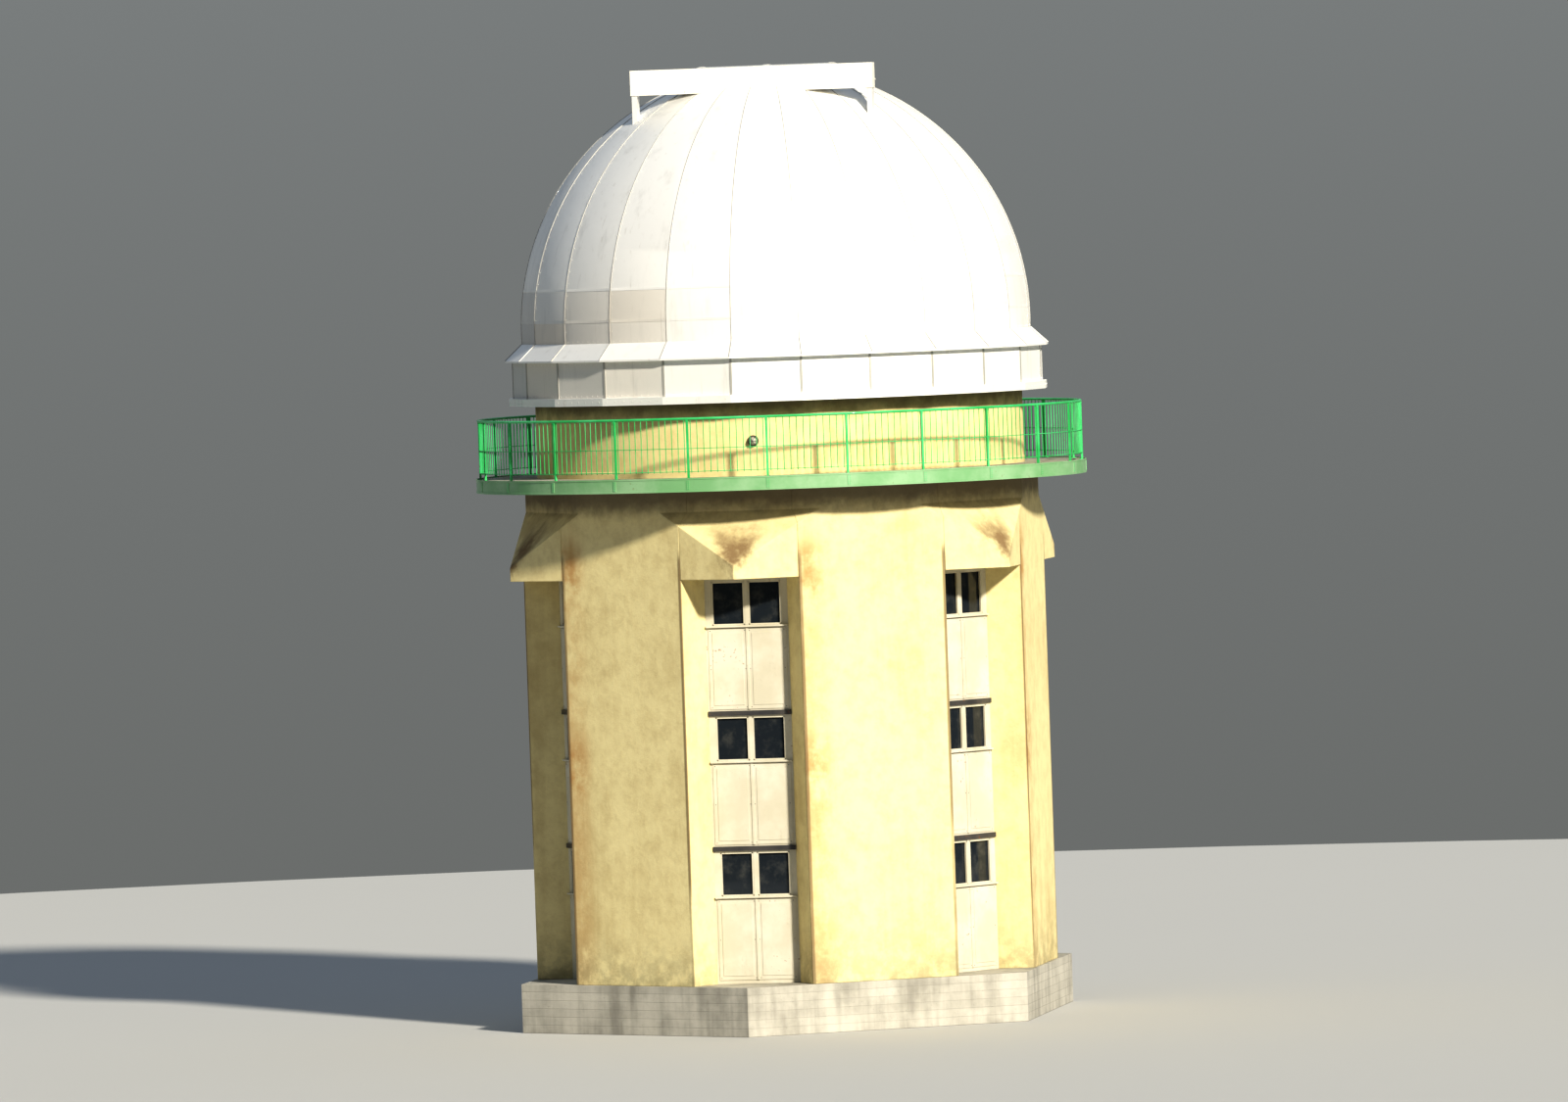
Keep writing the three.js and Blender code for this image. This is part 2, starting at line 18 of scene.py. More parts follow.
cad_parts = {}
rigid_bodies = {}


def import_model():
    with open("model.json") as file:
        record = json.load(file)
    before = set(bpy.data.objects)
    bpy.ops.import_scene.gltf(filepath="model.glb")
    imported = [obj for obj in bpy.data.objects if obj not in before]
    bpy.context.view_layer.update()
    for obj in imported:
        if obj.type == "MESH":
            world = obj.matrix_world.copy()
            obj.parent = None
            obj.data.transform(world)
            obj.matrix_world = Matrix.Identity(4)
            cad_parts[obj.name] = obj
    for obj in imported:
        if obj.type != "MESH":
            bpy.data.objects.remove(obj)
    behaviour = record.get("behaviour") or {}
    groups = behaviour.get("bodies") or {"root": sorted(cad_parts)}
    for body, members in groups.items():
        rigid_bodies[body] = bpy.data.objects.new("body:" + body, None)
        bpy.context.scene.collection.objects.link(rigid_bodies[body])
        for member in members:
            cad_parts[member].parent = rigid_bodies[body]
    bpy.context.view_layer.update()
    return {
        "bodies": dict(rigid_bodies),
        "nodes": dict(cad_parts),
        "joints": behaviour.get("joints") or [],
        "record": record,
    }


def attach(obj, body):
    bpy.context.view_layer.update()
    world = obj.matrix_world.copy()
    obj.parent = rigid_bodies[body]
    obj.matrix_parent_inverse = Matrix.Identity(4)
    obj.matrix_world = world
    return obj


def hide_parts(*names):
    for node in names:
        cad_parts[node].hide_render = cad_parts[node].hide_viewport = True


LOG = logging.getLogger("observatory")

SIDES = 6
SIDE_ANGLE = math.tau / SIDES
GORES = 24
GORE_STEP = math.tau / GORES
# From the tower's axis to a pier's flat face.
PIER_FACE = 4.92
# Straight runs in a full circle of the tower.
ROUND_STEPS = 240
# The bay with the entrance, counted from the front, and the height of the door's head.
DOOR_BAY = 4
DOOR_HEAD = 2.4
# Corners that are nearer than this are one.
WELD = 1e-6
# The corner numbers of a box's sides, with the corners in order of x, then y, then z.
BOX_SIDES = ((0, 1, 3, 2), (4, 6, 7, 5), (0, 4, 5, 1), (2, 3, 7, 6), (0, 2, 6, 4), (1, 5, 7, 3))

Point = tuple[float, float, float]
Pair = tuple[float, float]
Colour = tuple[float, float, float]
Number = Union[float, "Field"]


class Body(Enum):
    """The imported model's bodies, by their names there."""

    TOWER = "tower"
    DOME = "dome"
    RIGHT = "shutter_right"
    LEFT = "shutter_left"


def around(radius: float, angle: float, height: float) -> Point:
    """Returns the point at a radius and an angle round the tower, at a height."""
    return (radius * math.sin(angle), -radius * math.cos(angle), height)


class Field:
    """A number that varies over a surface or along a path, so that maths on it reads as Python."""

    def __init__(self, graph: "Graph", socket: bpy.types.NodeSocket) -> None:
        """Wraps one output socket.

        Args:
            graph: The node graph that the socket is in.
            socket: The output that carries the number.
        """
        self.graph = graph
        self.socket = socket

    def __add__(self, other: Number) -> "Field":
        """Returns self + other."""
        return self.graph.math("ADD", self, other)

    __radd__ = __add__

    def __sub__(self, other: Number) -> "Field":
        """Returns self - other."""
        return self.graph.math("SUBTRACT", self, other)

    def __rsub__(self, other: Number) -> "Field":
        """Returns other - self."""
        return self.graph.math("SUBTRACT", other, self)

    def __mul__(self, other: Number) -> "Field":
        """Returns self * other."""
        return self.graph.math("MULTIPLY", self, other)

    __rmul__ = __mul__

    def __truediv__(self, other: Number) -> "Field":
        """Returns self / other."""
        return self.graph.math("DIVIDE", self, other)


class Graph:
    """A node tree that is written as Python expressions."""

    def __init__(self, tree: bpy.types.NodeTree) -> None:
        """Wraps an empty node tree.

        Args:
            tree: The tree that the nodes go in.
        """
        self.tree = tree

    def node(self, kind: str, settings: dict | None = None, inputs: dict | None = None) -> bpy.types.Node:
        """Adds one node.

        Args:
            kind: The node's type name.
            settings: Its own settings, and a ramp's stops under the name stops.
            inputs: Values or links for its sockets, by name or number.

        Returns:
            The new node.
        """
        made = self.tree.nodes.new(kind)
        for name, value in (settings or {}).items():
            if name == "stops":
                self._set_stops(made.color_ramp, value)
            else:
                setattr(made, name, value)
        for key, value in (inputs or {}).items():
            self.feed(value, made.inputs[key])
        return made

    def feed(self, value: object, socket: bpy.types.NodeSocket) -> None:
        """Links a field or an output to a socket, or sets the socket's own value.

        Args:
            value: A field, an output socket or a plain value.
            socket: The input that takes it.
        """
        if isinstance(value, Field):
            value = value.socket
        if isinstance(value, bpy.types.NodeSocket):
            self.tree.links.new(value, socket)
        else:
            socket.default_value = value

    def math(self, operation: str, *values: Number) -> Field:
        """Returns the result of one Math node on fields or plain numbers."""
        made = self.node("ShaderNodeMath", {"operation": operation}, dict(enumerate(values)))
        return Field(self, made.outputs[0])

    def band(self, value: Number, low: float, high: float) -> Field:
        """Makes a smooth rise from 0 to 1, or a smooth fall where low is the greater.

        Args:
            value: What the rise is measured on.
            low: Where the result reaches 0.
            high: Where the result reaches 1.

        Returns:
            The result as a field.
        """
        upward = low < high
        ends = {1: low, 2: high, 3: 0.0, 4: 1.0} if upward else {1: high, 2: low, 3: 1.0, 4: 0.0}
        made = self.node("ShaderNodeMapRange", {"interpolation_type": "SMOOTHSTEP"}, {0: value, **ends})
        return Field(self, made.outputs[0])

    def split(self, vector: bpy.types.NodeSocket) -> tuple[Field, Field, Field]:
        """Returns the three numbers of a vector."""
        parts = self.node("ShaderNodeSeparateXYZ", inputs={0: vector}).outputs
        return Field(self, parts[0]), Field(self, parts[1]), Field(self, parts[2])

    def vector(self, x: Number, y: Number, z: Number) -> bpy.types.NodeSocket:
        """Returns a vector of three numbers."""
        return self.node("ShaderNodeCombineXYZ", inputs={0: x, 1: y, 2: z}).outputs[0]

    @staticmethod
    def _set_stops(ramp: bpy.types.ColorRamp, stops: Sequence[tuple[float, Colour]]) -> None:
        """Gives a ramp its stops.

        Args:
            ramp: The ramp.
            stops: Each stop's position and colour, in order.
        """
        while len(ramp.elements) < len(stops):
            ramp.elements.new(1.0)
        for element, (position, colour) in zip(ramp.elements, stops):
            element.position = position
            element.color = (*colour, 1.0)


class Shader(Graph):
    """A material's node tree, with what every finish here needs."""

    def __init__(self, name: str) -> None:
        """Starts a material with one Principled surface.

        Args:
            name: The material's name.
        """
        self.material = bpy.data.materials.new(name)
        self.material.use_nodes = True
        super().__init__(self.material.node_tree)
        self.tree.nodes.clear()
        self.surface = self.node("ShaderNodeBsdfPrincipled")
        self.node("ShaderNodeOutputMaterial", inputs={"Surface": self.surface.outputs[0]})
        self.place = self.node("ShaderNodeTexCoord").outputs["Object"]
        self.x, self.y, self.z = self.split(self.place)

    def set(self, **values: object) -> None:
        """Sets inputs of the surface, with underscores in place of the spaces in their names."""
        for name, value in values.items():
            self.feed(value, self.surface.inputs[name.replace("_", " ")])

    def noise(self, scale: float, detail: float, roughness: float, stretch: Point = (1, 1, 1)) -> Field:
        """Makes soft noise from 0 to 1.

        Args:
            scale: Blobs to the metre.
            detail: Octaves of finer noise.
            roughness: How strong the finer octaves are.
            stretch: Scale of the pattern along each axis.

        Returns:
            The noise as a field.
        """
        where = self.node("ShaderNodeMapping", inputs={0: self.place, "Scale": stretch}).outputs[0]
        shape = {0: where, "Scale": scale, "Detail": detail, "Roughness": roughness}
        return Field(self, self.node("ShaderNodeTexNoise", inputs=shape).outputs[0])

    def streaks(self, across: float, down: float, detail: float) -> Field:
        """Returns noise drawn out downwards, as rain leaves it: blobs to the metre across and down."""
        return self.noise(1.0, detail, 0.6, (across, across, down))

    def blend(self, share: Number, first: object, second: object) -> bpy.types.NodeSocket:
        """Returns the mix of two, each a colour or a link, where share is how much there is of the second."""
        inputs = {0: share, 6: self._rgba(first), 7: self._rgba(second)}
        return self.node("ShaderNodeMix", {"data_type": "RGBA"}, inputs).outputs[2]

    @staticmethod
    def _rgba(value: object) -> object:
        """Returns a plain colour with its fourth number, and a link as it is."""
        return (*value, 1.0) if isinstance(value, tuple) else value

    def bump(
        self, height: Number, distance: float, strength: float, under: bpy.types.NodeSocket | None = None,
    ) -> bpy.types.NodeSocket:
        """Raises the surface.

        Args:
            height: How far, from 0 to 1.
            distance: The metres that a height of 1 stands for.
            strength: How strongly it shows.
            under: A bump that this one lies on, where there is one.

        Returns:
            The normal of the raised surface.
        """
        inputs = {"Strength": strength, "Distance": distance, "Height": height}
        if under is not None:
            inputs["Normal"] = under
        return self.node("ShaderNodeBump", inputs=inputs).outputs[0]

    def scatter(self, cell: bpy.types.NodeSocket) -> Field:
        """Returns an even random number from 0 to 1 for each whole-numbered cell."""
        made = self.node("ShaderNodeTexWhiteNoise", {"noise_dimensions": "3D"}, {0: cell})
        return Field(self, made.outputs[0])

    def bearing(self) -> Field:
        """Returns the angle round the tower from -Y towards +X, in radians."""
        return self.math("ARCTAN2", self.x, 0.0 - self.y)

    def from_axis(self) -> Field:
        """Returns the distance from the tower's axis."""
        return self.math("SQRT", self.x * self.x + self.y * self.y)

    def _from_side(self, first: float) -> Field:
        """Returns the angle from the middle of the nearest side of a hexagon with a side at angle first."""
        turned = self.math("FLOORED_MODULO", self.bearing() - first + SIDE_ANGLE / 2, SIDE_ANGLE)
        return turned - SIDE_ANGLE / 2

    def sideways(self, first: float) -> Field:
        """Returns the distance across that nearest side."""
        return self.from_axis() * self.math("SINE", self._from_side(first))

    def outwards(self, first: float) -> Field:
        """Returns the distance out from the axis, square to that nearest side."""
        return self.from_axis() * self.math("COSINE", self._from_side(first))


@dataclass(frozen=True)
class Finish:
    """What every finish has: a name, and the slot of the record that it stands for."""

    name: str
    slot: str

    def material(self) -> bpy.types.Material:
        """Makes the finish's material, the first time that it is asked for.

        Returns:
            The material.
        """
        known = bpy.data.materials.get(self.name)
        if known is not None:
            return known
        shader = Shader(self.name)
        self.paint(shader)
        return shader.material

    def paint(self, shader: Shader) -> None:
        """Builds the look on a new shader."""
        raise NotImplementedError


@dataclass(frozen=True)
class WallRender(Finish):
    """Weathered lime render: mottled, rain-streaked, darkened at its top with painted shade and, on the
    shaft, stained.
    """

    light: Colour = (0.79, 0.70, 0.41)
    dull: Colour = (0.55, 0.45, 0.24)
    rust: Colour = (0.47, 0.26, 0.10)
    edge: Colour = (0.20, 0.145, 0.08)
    wedge: Colour = (0.19, 0.115, 0.06)
    # Painted shade under the overhang above: its colour, and the heights over which it comes in.
    overhang_shade: Colour = (0.12, 0.10, 0.08)
    overhang_shade_rise: Pair = (9.9, 10.35)
    damp: Colour = (0.22, 0.21, 0.14)
    damp_fall: Pair = (2.2, 0.5)
    pier_half: float = 1.5
    stained: bool = True

    def paint(self, shader: Shader) -> None:
        """Builds the look on a new shader.

        Args:
            shader: The new material's shader.
        """
        patches = shader.noise(0.35, 4.0, 0.6)
        mottle = shader.noise(2.6, 5.0, 0.65)
        rain = shader.streaks(2.2, 0.16, 4.0)
        grime = shader.band(patches * 0.5 + mottle * 0.25 + rain * 0.35, 0.50, 0.74)
        colour = shader.blend(grime * 0.75, self.light, self.dull)
        blotch = shader.band(shader.noise(3.2, 6.0, 0.75), 0.40, 0.70)
        colour = shader.blend(blotch * 0.42, colour, self.dull)
        speck = shader.noise(38.0, 2.0, 0.7)
        colour = shader.blend(shader.band(speck, 0.62, 0.78) * 0.25, colour, self.dull)
        if self.stained:
            colour = self._stained(shader, colour, mottle, rain)
        # Painted shade: the top of the wall, under the balcony slab or the dome's skirt, is darkened where
        # their shadow falls.
        overhang_shaded = shader.band(shader.z + (mottle - 0.5) * 0.4, *self.overhang_shade_rise)
        colour = shader.blend(overhang_shaded * 0.8, colour, self.overhang_shade)
        damp = shader.band(shader.z, *self.damp_fall) * shader.band(mottle, 0.35, 0.6)
        colour = shader.blend(damp * 0.55, colour, self.damp)
        coarse = shader.noise(9.0, 5.0, 0.62)
        grain = shader.noise(120.0, 2.0, 0.5)
        trowelled = shader.bump(coarse, 0.010, 0.7)
        shader.set(
            Base_Color=colour,
            Roughness=0.82 + coarse * 0.14,
            Normal=shader.bump(grain, 0.0025, 0.6, trowelled),
            Specular_IOR_Level=0.25,
        )

    def _stained(
        self, shader: Shader, colour: bpy.types.NodeSocket, mottle: Field, rain: Field,
    ) -> bpy.types.NodeSocket:
        """Adds a rusty band and a dark edge to each pier's face, and a brown wedge to each lintel's corner.

        Args:
            shader: The material's shader.
            colour: The colour so far.
            mottle: Noise that breaks the stains up.
            rain: Noise drawn out downwards.

        Returns:
            The stained colour.
        """
        across = shader.sideways(SIDE_ANGLE / 2)
        face = shader.band(shader.outwards(SIDE_ANGLE / 2), PIER_FACE - 0.03, PIER_FACE - 0.01)
        flank = shader.band(across, -0.8, -1.3) * shader.band(across, -1.56, -1.47) * face
        height = shader.z + (mottle - 0.5) * 1.2
        upper = shader.band(height, 8.3, 8.8) * shader.band(height, 9.7, 9.2)
        lower = shader.band(height, 4.6, 5.1) * shader.band(height, 6.1, 5.5)
        rust = shader.math("MAXIMUM", upper, lower) * 0.45 + 0.42
        rust = rust * flank * shader.band(height, 9.9, 9.4)
        rust = rust * shader.band(mottle * 0.6 + rain * 0.4, 0.3, 0.62)
        colour = shader.blend(rust, colour, self.rust)
        edge = shader.math("ABSOLUTE", across)
        line = shader.band(edge, self.pier_half - 0.075, self.pier_half - 0.04) * face
        line = line * shader.band(edge, self.pier_half + 0.02, self.pier_half + 0.005)
        line = line * shader.band(shader.z, 9.4, 9.1) * shader.band(rain, 0.30, 0.5)
        colour = shader.blend(line * 0.8, colour, self.edge)
        corner = shader.math("ABSOLUTE", shader.sideways(0.0))
        wedge = shader.band(corner - (height - 8.95) * 0.6, 0.22, -0.12) * shader.band(height, 10.0, 9.4)
        wedge = wedge * shader.band(mottle * 0.5 + rain * 0.5, 0.25, 0.55)
        return shader.blend(wedge * 0.85, colour, self.wedge)


@dataclass(frozen=True)
class Concrete(Finish):
    """Cast concrete: board marks, pits and dark rain runs."""

    light: Colour = (0.56, 0.54, 0.48)
    dark: Colour = (0.27, 0.26, 0.23)
    board: float = 0.16

    def paint(self, shader: Shader) -> None:
        """Builds the look on a new shader.

        Args:
            shader: The new material's shader.
        """
        cloud = shader.noise(0.8, 5.0, 0.62)
        runs = shader.streaks(3.0, 0.25, 4.0)
        wear = shader.band(cloud * 0.6 + runs * 0.4, 0.38, 0.68)
        boards = shader.math("FRACT", shader.z / self.board)
        joint = shader.band(shader.math("ABSOLUTE", boards - 0.5), 0.44, 0.5)
        row = shader.scatter(shader.vector(0.0, 0.0, shader.math("FLOOR", shader.z / self.board)))
        colour = shader.blend(wear, self.light, self.dark)
        colour = shader.blend((row - 0.5) * 0.2 + 0.1, colour, self.dark)
        colour = shader.blend(joint * 0.35, colour, self.dark)
        pits = shader.band(shader.noise(26.0, 2.0, 0.5), 0.66, 0.76)
        formed = shader.bump(1.0 - joint, 0.004, 0.7)
        pitted = shader.bump(1.0 - pits, 0.005, 0.6, formed)
        grain = shader.noise(90.0, 3.0, 0.6)
        shader.set(
            Base_Color=shader.blend(pits * 0.4, colour, self.dark),
            Roughness=0.80 + cloud * 0.18,
            Normal=shader.bump(grain, 0.003, 0.5, pitted),
        )


@dataclass(frozen=True)
class DomeSheet(Finish):
    """Dull rolled metal sheet. Each panel has its own tone and slight waves, and the side away from the sun
    is darker, as painted shade.
    """

    bright: Colour = (0.93, 0.925, 0.90)
    dark: Colour = (0.37, 0.375, 0.37)
    warm: Colour = (0.70, 0.62, 0.50)
    dirt: Colour = (0.30, 0.25, 0.18)
    rows: tuple[float, ...] = ()
    toned: Pair = (0.0, 0.0)
    plain_share: float = 0.2
    toned_share: float = 0.6
    metal: float = 0.22

    def paint(self, shader: Shader) -> None:
        """Builds the look on a new shader.

        Args:
            shader: The new material's shader.
        """
        gore = shader.math("FLOOR", shader.bearing() / GORE_STEP)
        row: Number = 0.0
        for height in self.rows:
            row = shader.math("GREATER_THAN", shader.z, height) + row
        # Painted shade: gores on the side away from the sun, towards -X, are darker, and there the panels'
        # tones and warm tint spread wider.
        sunless_side_shade = shader.band((gore + 0.5) * GORE_STEP, -0.1, -1.1)
        tone = shader.scatter(shader.vector(gore, row, 3.0)) * 0.5 + sunless_side_shade * 0.5
        second = shader.scatter(shader.vector(gore, row, 11.0))
        low, high = self.toned
        low_rows = shader.band(shader.z, high + 0.02, high - 0.02)
        low_rows = low_rows * shader.band(shader.z, low - 0.01, low + 0.01)
        sunless_side_spread = shader.band(shader.bearing(), 0.35, -0.5) * 0.75 + 0.25
        spread = self.toned_share - self.plain_share
        share = tone * tone * sunless_side_spread * (low_rows * spread + self.plain_share)
        colour = shader.blend(share, self.bright, self.dark)
        warm = shader.band(second, 0.5, 1.0) * sunless_side_spread * (low_rows * 0.4 + 0.05)
        colour = shader.blend(warm, colour, self.warm)
        smears = shader.noise(1.0, 5.0, 0.6, (3.0, 3.0, 0.5))
        colour = shader.blend(shader.band(smears, 0.52, 0.75) * 0.22, colour, self.dark)
        drips = shader.band(shader.streaks(7.0, 0.3, 3.0), 0.60, 0.75)
        colour = shader.blend(drips * 0.16, colour, self.dirt)
        rolled = shader.noise(1.0, 2.0, 0.5, (0.9, 0.9, 2.2))
        dents = shader.noise(5.0, 2.0, 0.4)
        waved = shader.bump(rolled, 0.016, 0.55)
        dented = shader.bump(dents, 0.003, 0.5, waved)
        brushed = shader.noise(1.0, 2.0, 0.5, (60.0, 60.0, 4.0))
        shader.set(
            Base_Color=colour,
            Metallic=self.metal + tone * 0.15,
            Roughness=0.34 + smears * 0.16 + second * 0.10,
            Normal=shader.bump(brushed, 0.0006, 0.5, dented),
        )


@dataclass(frozen=True)
class PaintedSteel(Finish):
    """Brushed-on gloss paint over steel, faded in patches and rusting where it has chipped."""

    colour: Colour = (0.1, 0.5, 0.2)
    faded: Colour = (0.3, 0.7, 0.4)
    dirt: Colour = (0.12, 0.11, 0.07)
    rust: Colour = (0.24, 0.09, 0.03)
    wear: float = 0.5
    roughness: float = 0.35

    def paint(self, shader: Shader) -> None:
        """Builds the look on a new shader.

        Args:
            shader: The new material's shader.
        """
        fade = shader.noise(1.3, 4.0, 0.6)
        fine = shader.noise(14.0, 3.0, 0.6)
        runs = shader.streaks(9.0, 1.2, 3.0)
        colour = shader.blend(shader.band(fade, 0.35, 0.7), self.colour, self.faded)
        dirt = shader.band(runs * 0.6 + fine * 0.4, 0.56, 0.74)
        colour = shader.blend(dirt * (0.35 * self.wear), colour, self.dirt)
        chips = shader.band(fine * 0.7 + fade * 0.45, 0.74 - 0.06 * self.wear, 0.77)
        colour = shader.blend(chips * self.wear, colour, self.rust)
        brush = shader.noise(1.0, 3.0, 0.5, (90.0, 90.0, 12.0))
        flat = shader.bump(1.0 - chips, 0.0015, self.wear)
        shader.set(
            Base_Color=colour,
            Metallic=chips * 0.2,
            Roughness=self.roughness + fine * 0.18 + chips * 0.35,
            Coat_Weight=(1.0 - chips) * 0.25,
            Normal=shader.bump(brush, 0.0006, 0.6, flat),
        )


@dataclass(frozen=True)
class WindowGlass(Finish):
    """Dark window glass with a film of dust."""

    tint: Colour = (0.020, 0.026, 0.034)
    dust: Colour = (0.45, 0.43, 0.36)

    def paint(self, shader: Shader) -> None:
        """Builds the look on a new shader.

        Args:
            shader: The new material's shader.
        """
        dust = shader.band(shader.noise(3.5, 4.0, 0.65), 0.45, 0.8)
        wave = shader.noise(1.6, 1.0, 0.4)
        shader.set(
            Base_Color=shader.blend(dust * 0.10, self.tint, self.dust),
            Roughness=0.04 + dust * 0.16,
            Normal=shader.bump(wave, 0.003, 0.5),
            IOR=1.5,
        )


@dataclass(frozen=True)
class LampGlass(Finish):
    """Ribbed milky glass of a bulkhead lamp."""

    milky: Colour = (0.62, 0.62, 0.56)
    grimy: Colour = (0.30, 0.28, 0.22)
    ribs: float = 420.0

    def paint(self, shader: Shader) -> None:
        """Builds the look on a new shader.

        Args:
            shader: The new material's shader.
        """
        grime = shader.noise(30.0, 3.0, 0.6)
        ribs = shader.math("SINE", shader.z * self.ribs)
        shader.set(
            Base_Color=shader.blend(grime, self.milky, self.grimy),
            Roughness=0.15 + grime * 0.2,
            Normal=shader.bump(ribs, 0.0015, 0.5),
        )


class Finishes:
    """The finishes of this tower, each under a maker's plain name."""

    wall = WallRender("weathered_cream_render", "wall_render")
    # The drum's top is darkened by painted shade under the dome's skirt.
    drum = WallRender(
        "yellow_drum_render", "drum_render", light=(0.84, 0.72, 0.40), dull=(0.66, 0.52, 0.24),
        overhang_shade_rise=(11.75, 12.2), stained=False,
    )
    concrete = Concrete("cast_concrete", "concrete")
    gores = DomeSheet("dome_sheet_gores", "dome_sheet", rows=(13.778, 14.392), toned=(0.0, 14.392))
    seams = DomeSheet("dome_sheet_seams", "dome_sheet", bright=(0.46, 0.455, 0.43), dark=(0.32, 0.31, 0.29))
    skirt = DomeSheet("dome_sheet_skirt", "dome_sheet", toned=(12.33, 13.02))
    trim = DomeSheet("dome_sheet_trim", "dome_sheet", bright=(0.90, 0.89, 0.85), metal=0.4)
    beam = PaintedSteel(
        "cream_beam_paint", "dome_sheet", colour=(0.82, 0.80, 0.72), faded=(0.90, 0.88, 0.82),
        wear=0.3, roughness=0.45,
    )
    green = PaintedSteel(
        "balcony_green_paint", "green_paint", colour=(0.035, 0.46, 0.13), faded=(0.10, 0.62, 0.25), wear=0.45,
    )
    fascia = PaintedSteel(
        "balcony_edge_green_paint", "green_paint", colour=(0.21, 0.42, 0.21), faded=(0.31, 0.50, 0.30),
        wear=0.3, roughness=0.45,
    )
    white = PaintedSteel(
        "window_white_paint", "window_paint", colour=(0.56, 0.53, 0.43), faded=(0.66, 0.63, 0.54),
        wear=0.5, roughness=0.45,
    )
    door = PaintedSteel(
        "door_grey_paint", "door_paint", colour=(0.16, 0.19, 0.20), faded=(0.24, 0.27, 0.27), wear=0.6,
    )
    steel = PaintedSteel(
        "dark_oily_steel", "dark_steel", colour=(0.045, 0.045, 0.05), faded=(0.09, 0.085, 0.08),
        wear=0.8, roughness=0.3,
    )
    glass = WindowGlass("dusty_window_glass", "window_glass")
    lamp_glass = LampGlass("milky_lamp_glass", "dark_steel")


class Draft:
    """A mesh under construction: closed shells that are added one after another."""

    def __init__(self) -> None:
        """Starts with nothing."""
        self.points: list[Point] = []
        self.faces: list[tuple[int, ...]] = []
        self.smooth: list[bool] = []
        self.paints: list[int] = []

    def add(
        self, points: Iterable[Sequence[float]], faces: Iterable[Sequence[int]], smooth: bool = False,
        paint: int = 0,
    ) -> None:
        """Adds one shell.

        Args:
            points: Its corners.
            faces: Its faces, each a list of corner numbers.
            smooth: Whether its faces are shaded as a curved surface.
            paint: The number of its finish in the list that make is given.
        """
        start = len(self.points)
        self.points.extend(tuple(point) for point in points)
        for face in faces:
            self.faces.append(tuple(start + corner for corner in face))
            self.smooth.append(smooth)
            self.paints.append(paint)

    def block(self, size: Point, place: Matrix) -> None:
        """Adds a box.

        Args:
            size: Its size along its own axes.
            place: Where its middle is, and how it is turned.
        """
        self.add([
            place @ Vector((size[0] * x / 2, size[1] * y / 2, size[2] * z / 2))
            for x in (-1, 1) for y in (-1, 1) for z in (-1, 1)
        ], BOX_SIDES)

    def loops(
        self, rings: Sequence[Sequence[Sequence[float]]], closed: bool, smooth: bool = True, paint: int = 0,
    ) -> None:
        """Joins equal rings of points into one shell.

        Args:
            rings: The rings, in order.
            closed: Whether the last ring joins the first, or each end is capped.
            smooth: Whether the sides are shaded as a curved surface.
            paint: The number of its finish in the list that make is given.
        """
        count = len(rings[0])
        points = [point for ring in rings for point in ring]
        faces = []
        for i in range(len(rings) if closed else len(rings) - 1):
            here, there = i * count, (i + 1) % len(rings) * count
            for j in range(count):
                k = (j + 1) % count
                faces.append((here + j, here + k, there + k, there + j))
        if not closed:
            faces.append(tuple(reversed(range(count))))
            faces.append(tuple((len(rings) - 1) * count + j for j in range(count)))
        self.add(points, faces, smooth, paint)

    def turned(self, outline: Sequence[Pair]) -> None:
        """Carries a closed outline of (radius, height) all the way round the tower's axis."""
        angles = [math.tau * i / ROUND_STEPS for i in range(ROUND_STEPS)]
        self.loops([[around(radius, angle, height) for radius, height in outline] for angle in angles], True)

    def bar(self, start: Point, end: Point, radius: float, sides: int = 8) -> None:
        """Adds a round bar.

        Args:
            start: The middle of one end.
            end: The middle of the other.
            radius: Its radius.
            sides: How many flat sides stand for its roundness.
        """
        axis = Vector(end) - Vector(start)
        turn = axis.to_track_quat("Z", "Y").to_matrix()
        angles = [math.tau * i / sides for i in range(sides)]
        ring = [turn @ Vector((radius * math.cos(angle), radius * math.sin(angle), 0)) for angle in angles]
        self.loops([[Vector(base) + point for point in ring] for base in (start, end)], False)

    def make(self, name: str, finishes: Sequence[Finish]) -> bpy.types.Object:
        """Turns the draft into an object at the origin.

        Args:
            name: The object's name.
            finishes: Its finishes, in the order of the shells' paint numbers.

        Returns:
            The new object.
        """
        mesh = bpy.data.meshes.new(name)
        mesh.from_pydata(self.points, [], self.faces)
        mesh.polygons.foreach_set("use_smooth", self.smooth)
        mesh.polygons.foreach_set("material_index", self.paints)
        for finish in finishes:
            mesh.materials.append(finish.material())
        finish_mesh(mesh, math.radians(30))
        return linked(name, mesh)


def finish_mesh(
    mesh: bpy.types.Mesh, corner: float, smooth: bool = False,
    trim: Callable[[bmesh.types.BMesh], None] | None = None,
) -> None:
    """Merges a mesh's doubles, turns its faces outwards and keeps its corners sharp.

    Args:
        mesh: The mesh.
        corner: The angle past which an edge stays sharp.
        smooth: Whether every face becomes smooth, or stays as it is.
        trim: A cut that is made on the way, where there is one.
    """
    work = bmesh.new()
    work.from_mesh(mesh)
    bmesh.ops.remove_doubles(work, verts=work.verts, dist=WELD)
    bmesh.ops.recalc_face_normals(work, faces=work.faces)
    if trim is not None:
        trim(work)
    for edge in work.edges:
        edge.smooth = len(edge.link_faces) == 2 and edge.calc_face_angle() < corner
    for face in work.faces:
        face.smooth = smooth or face.smooth
    work.to_mesh(mesh)
    work.free()


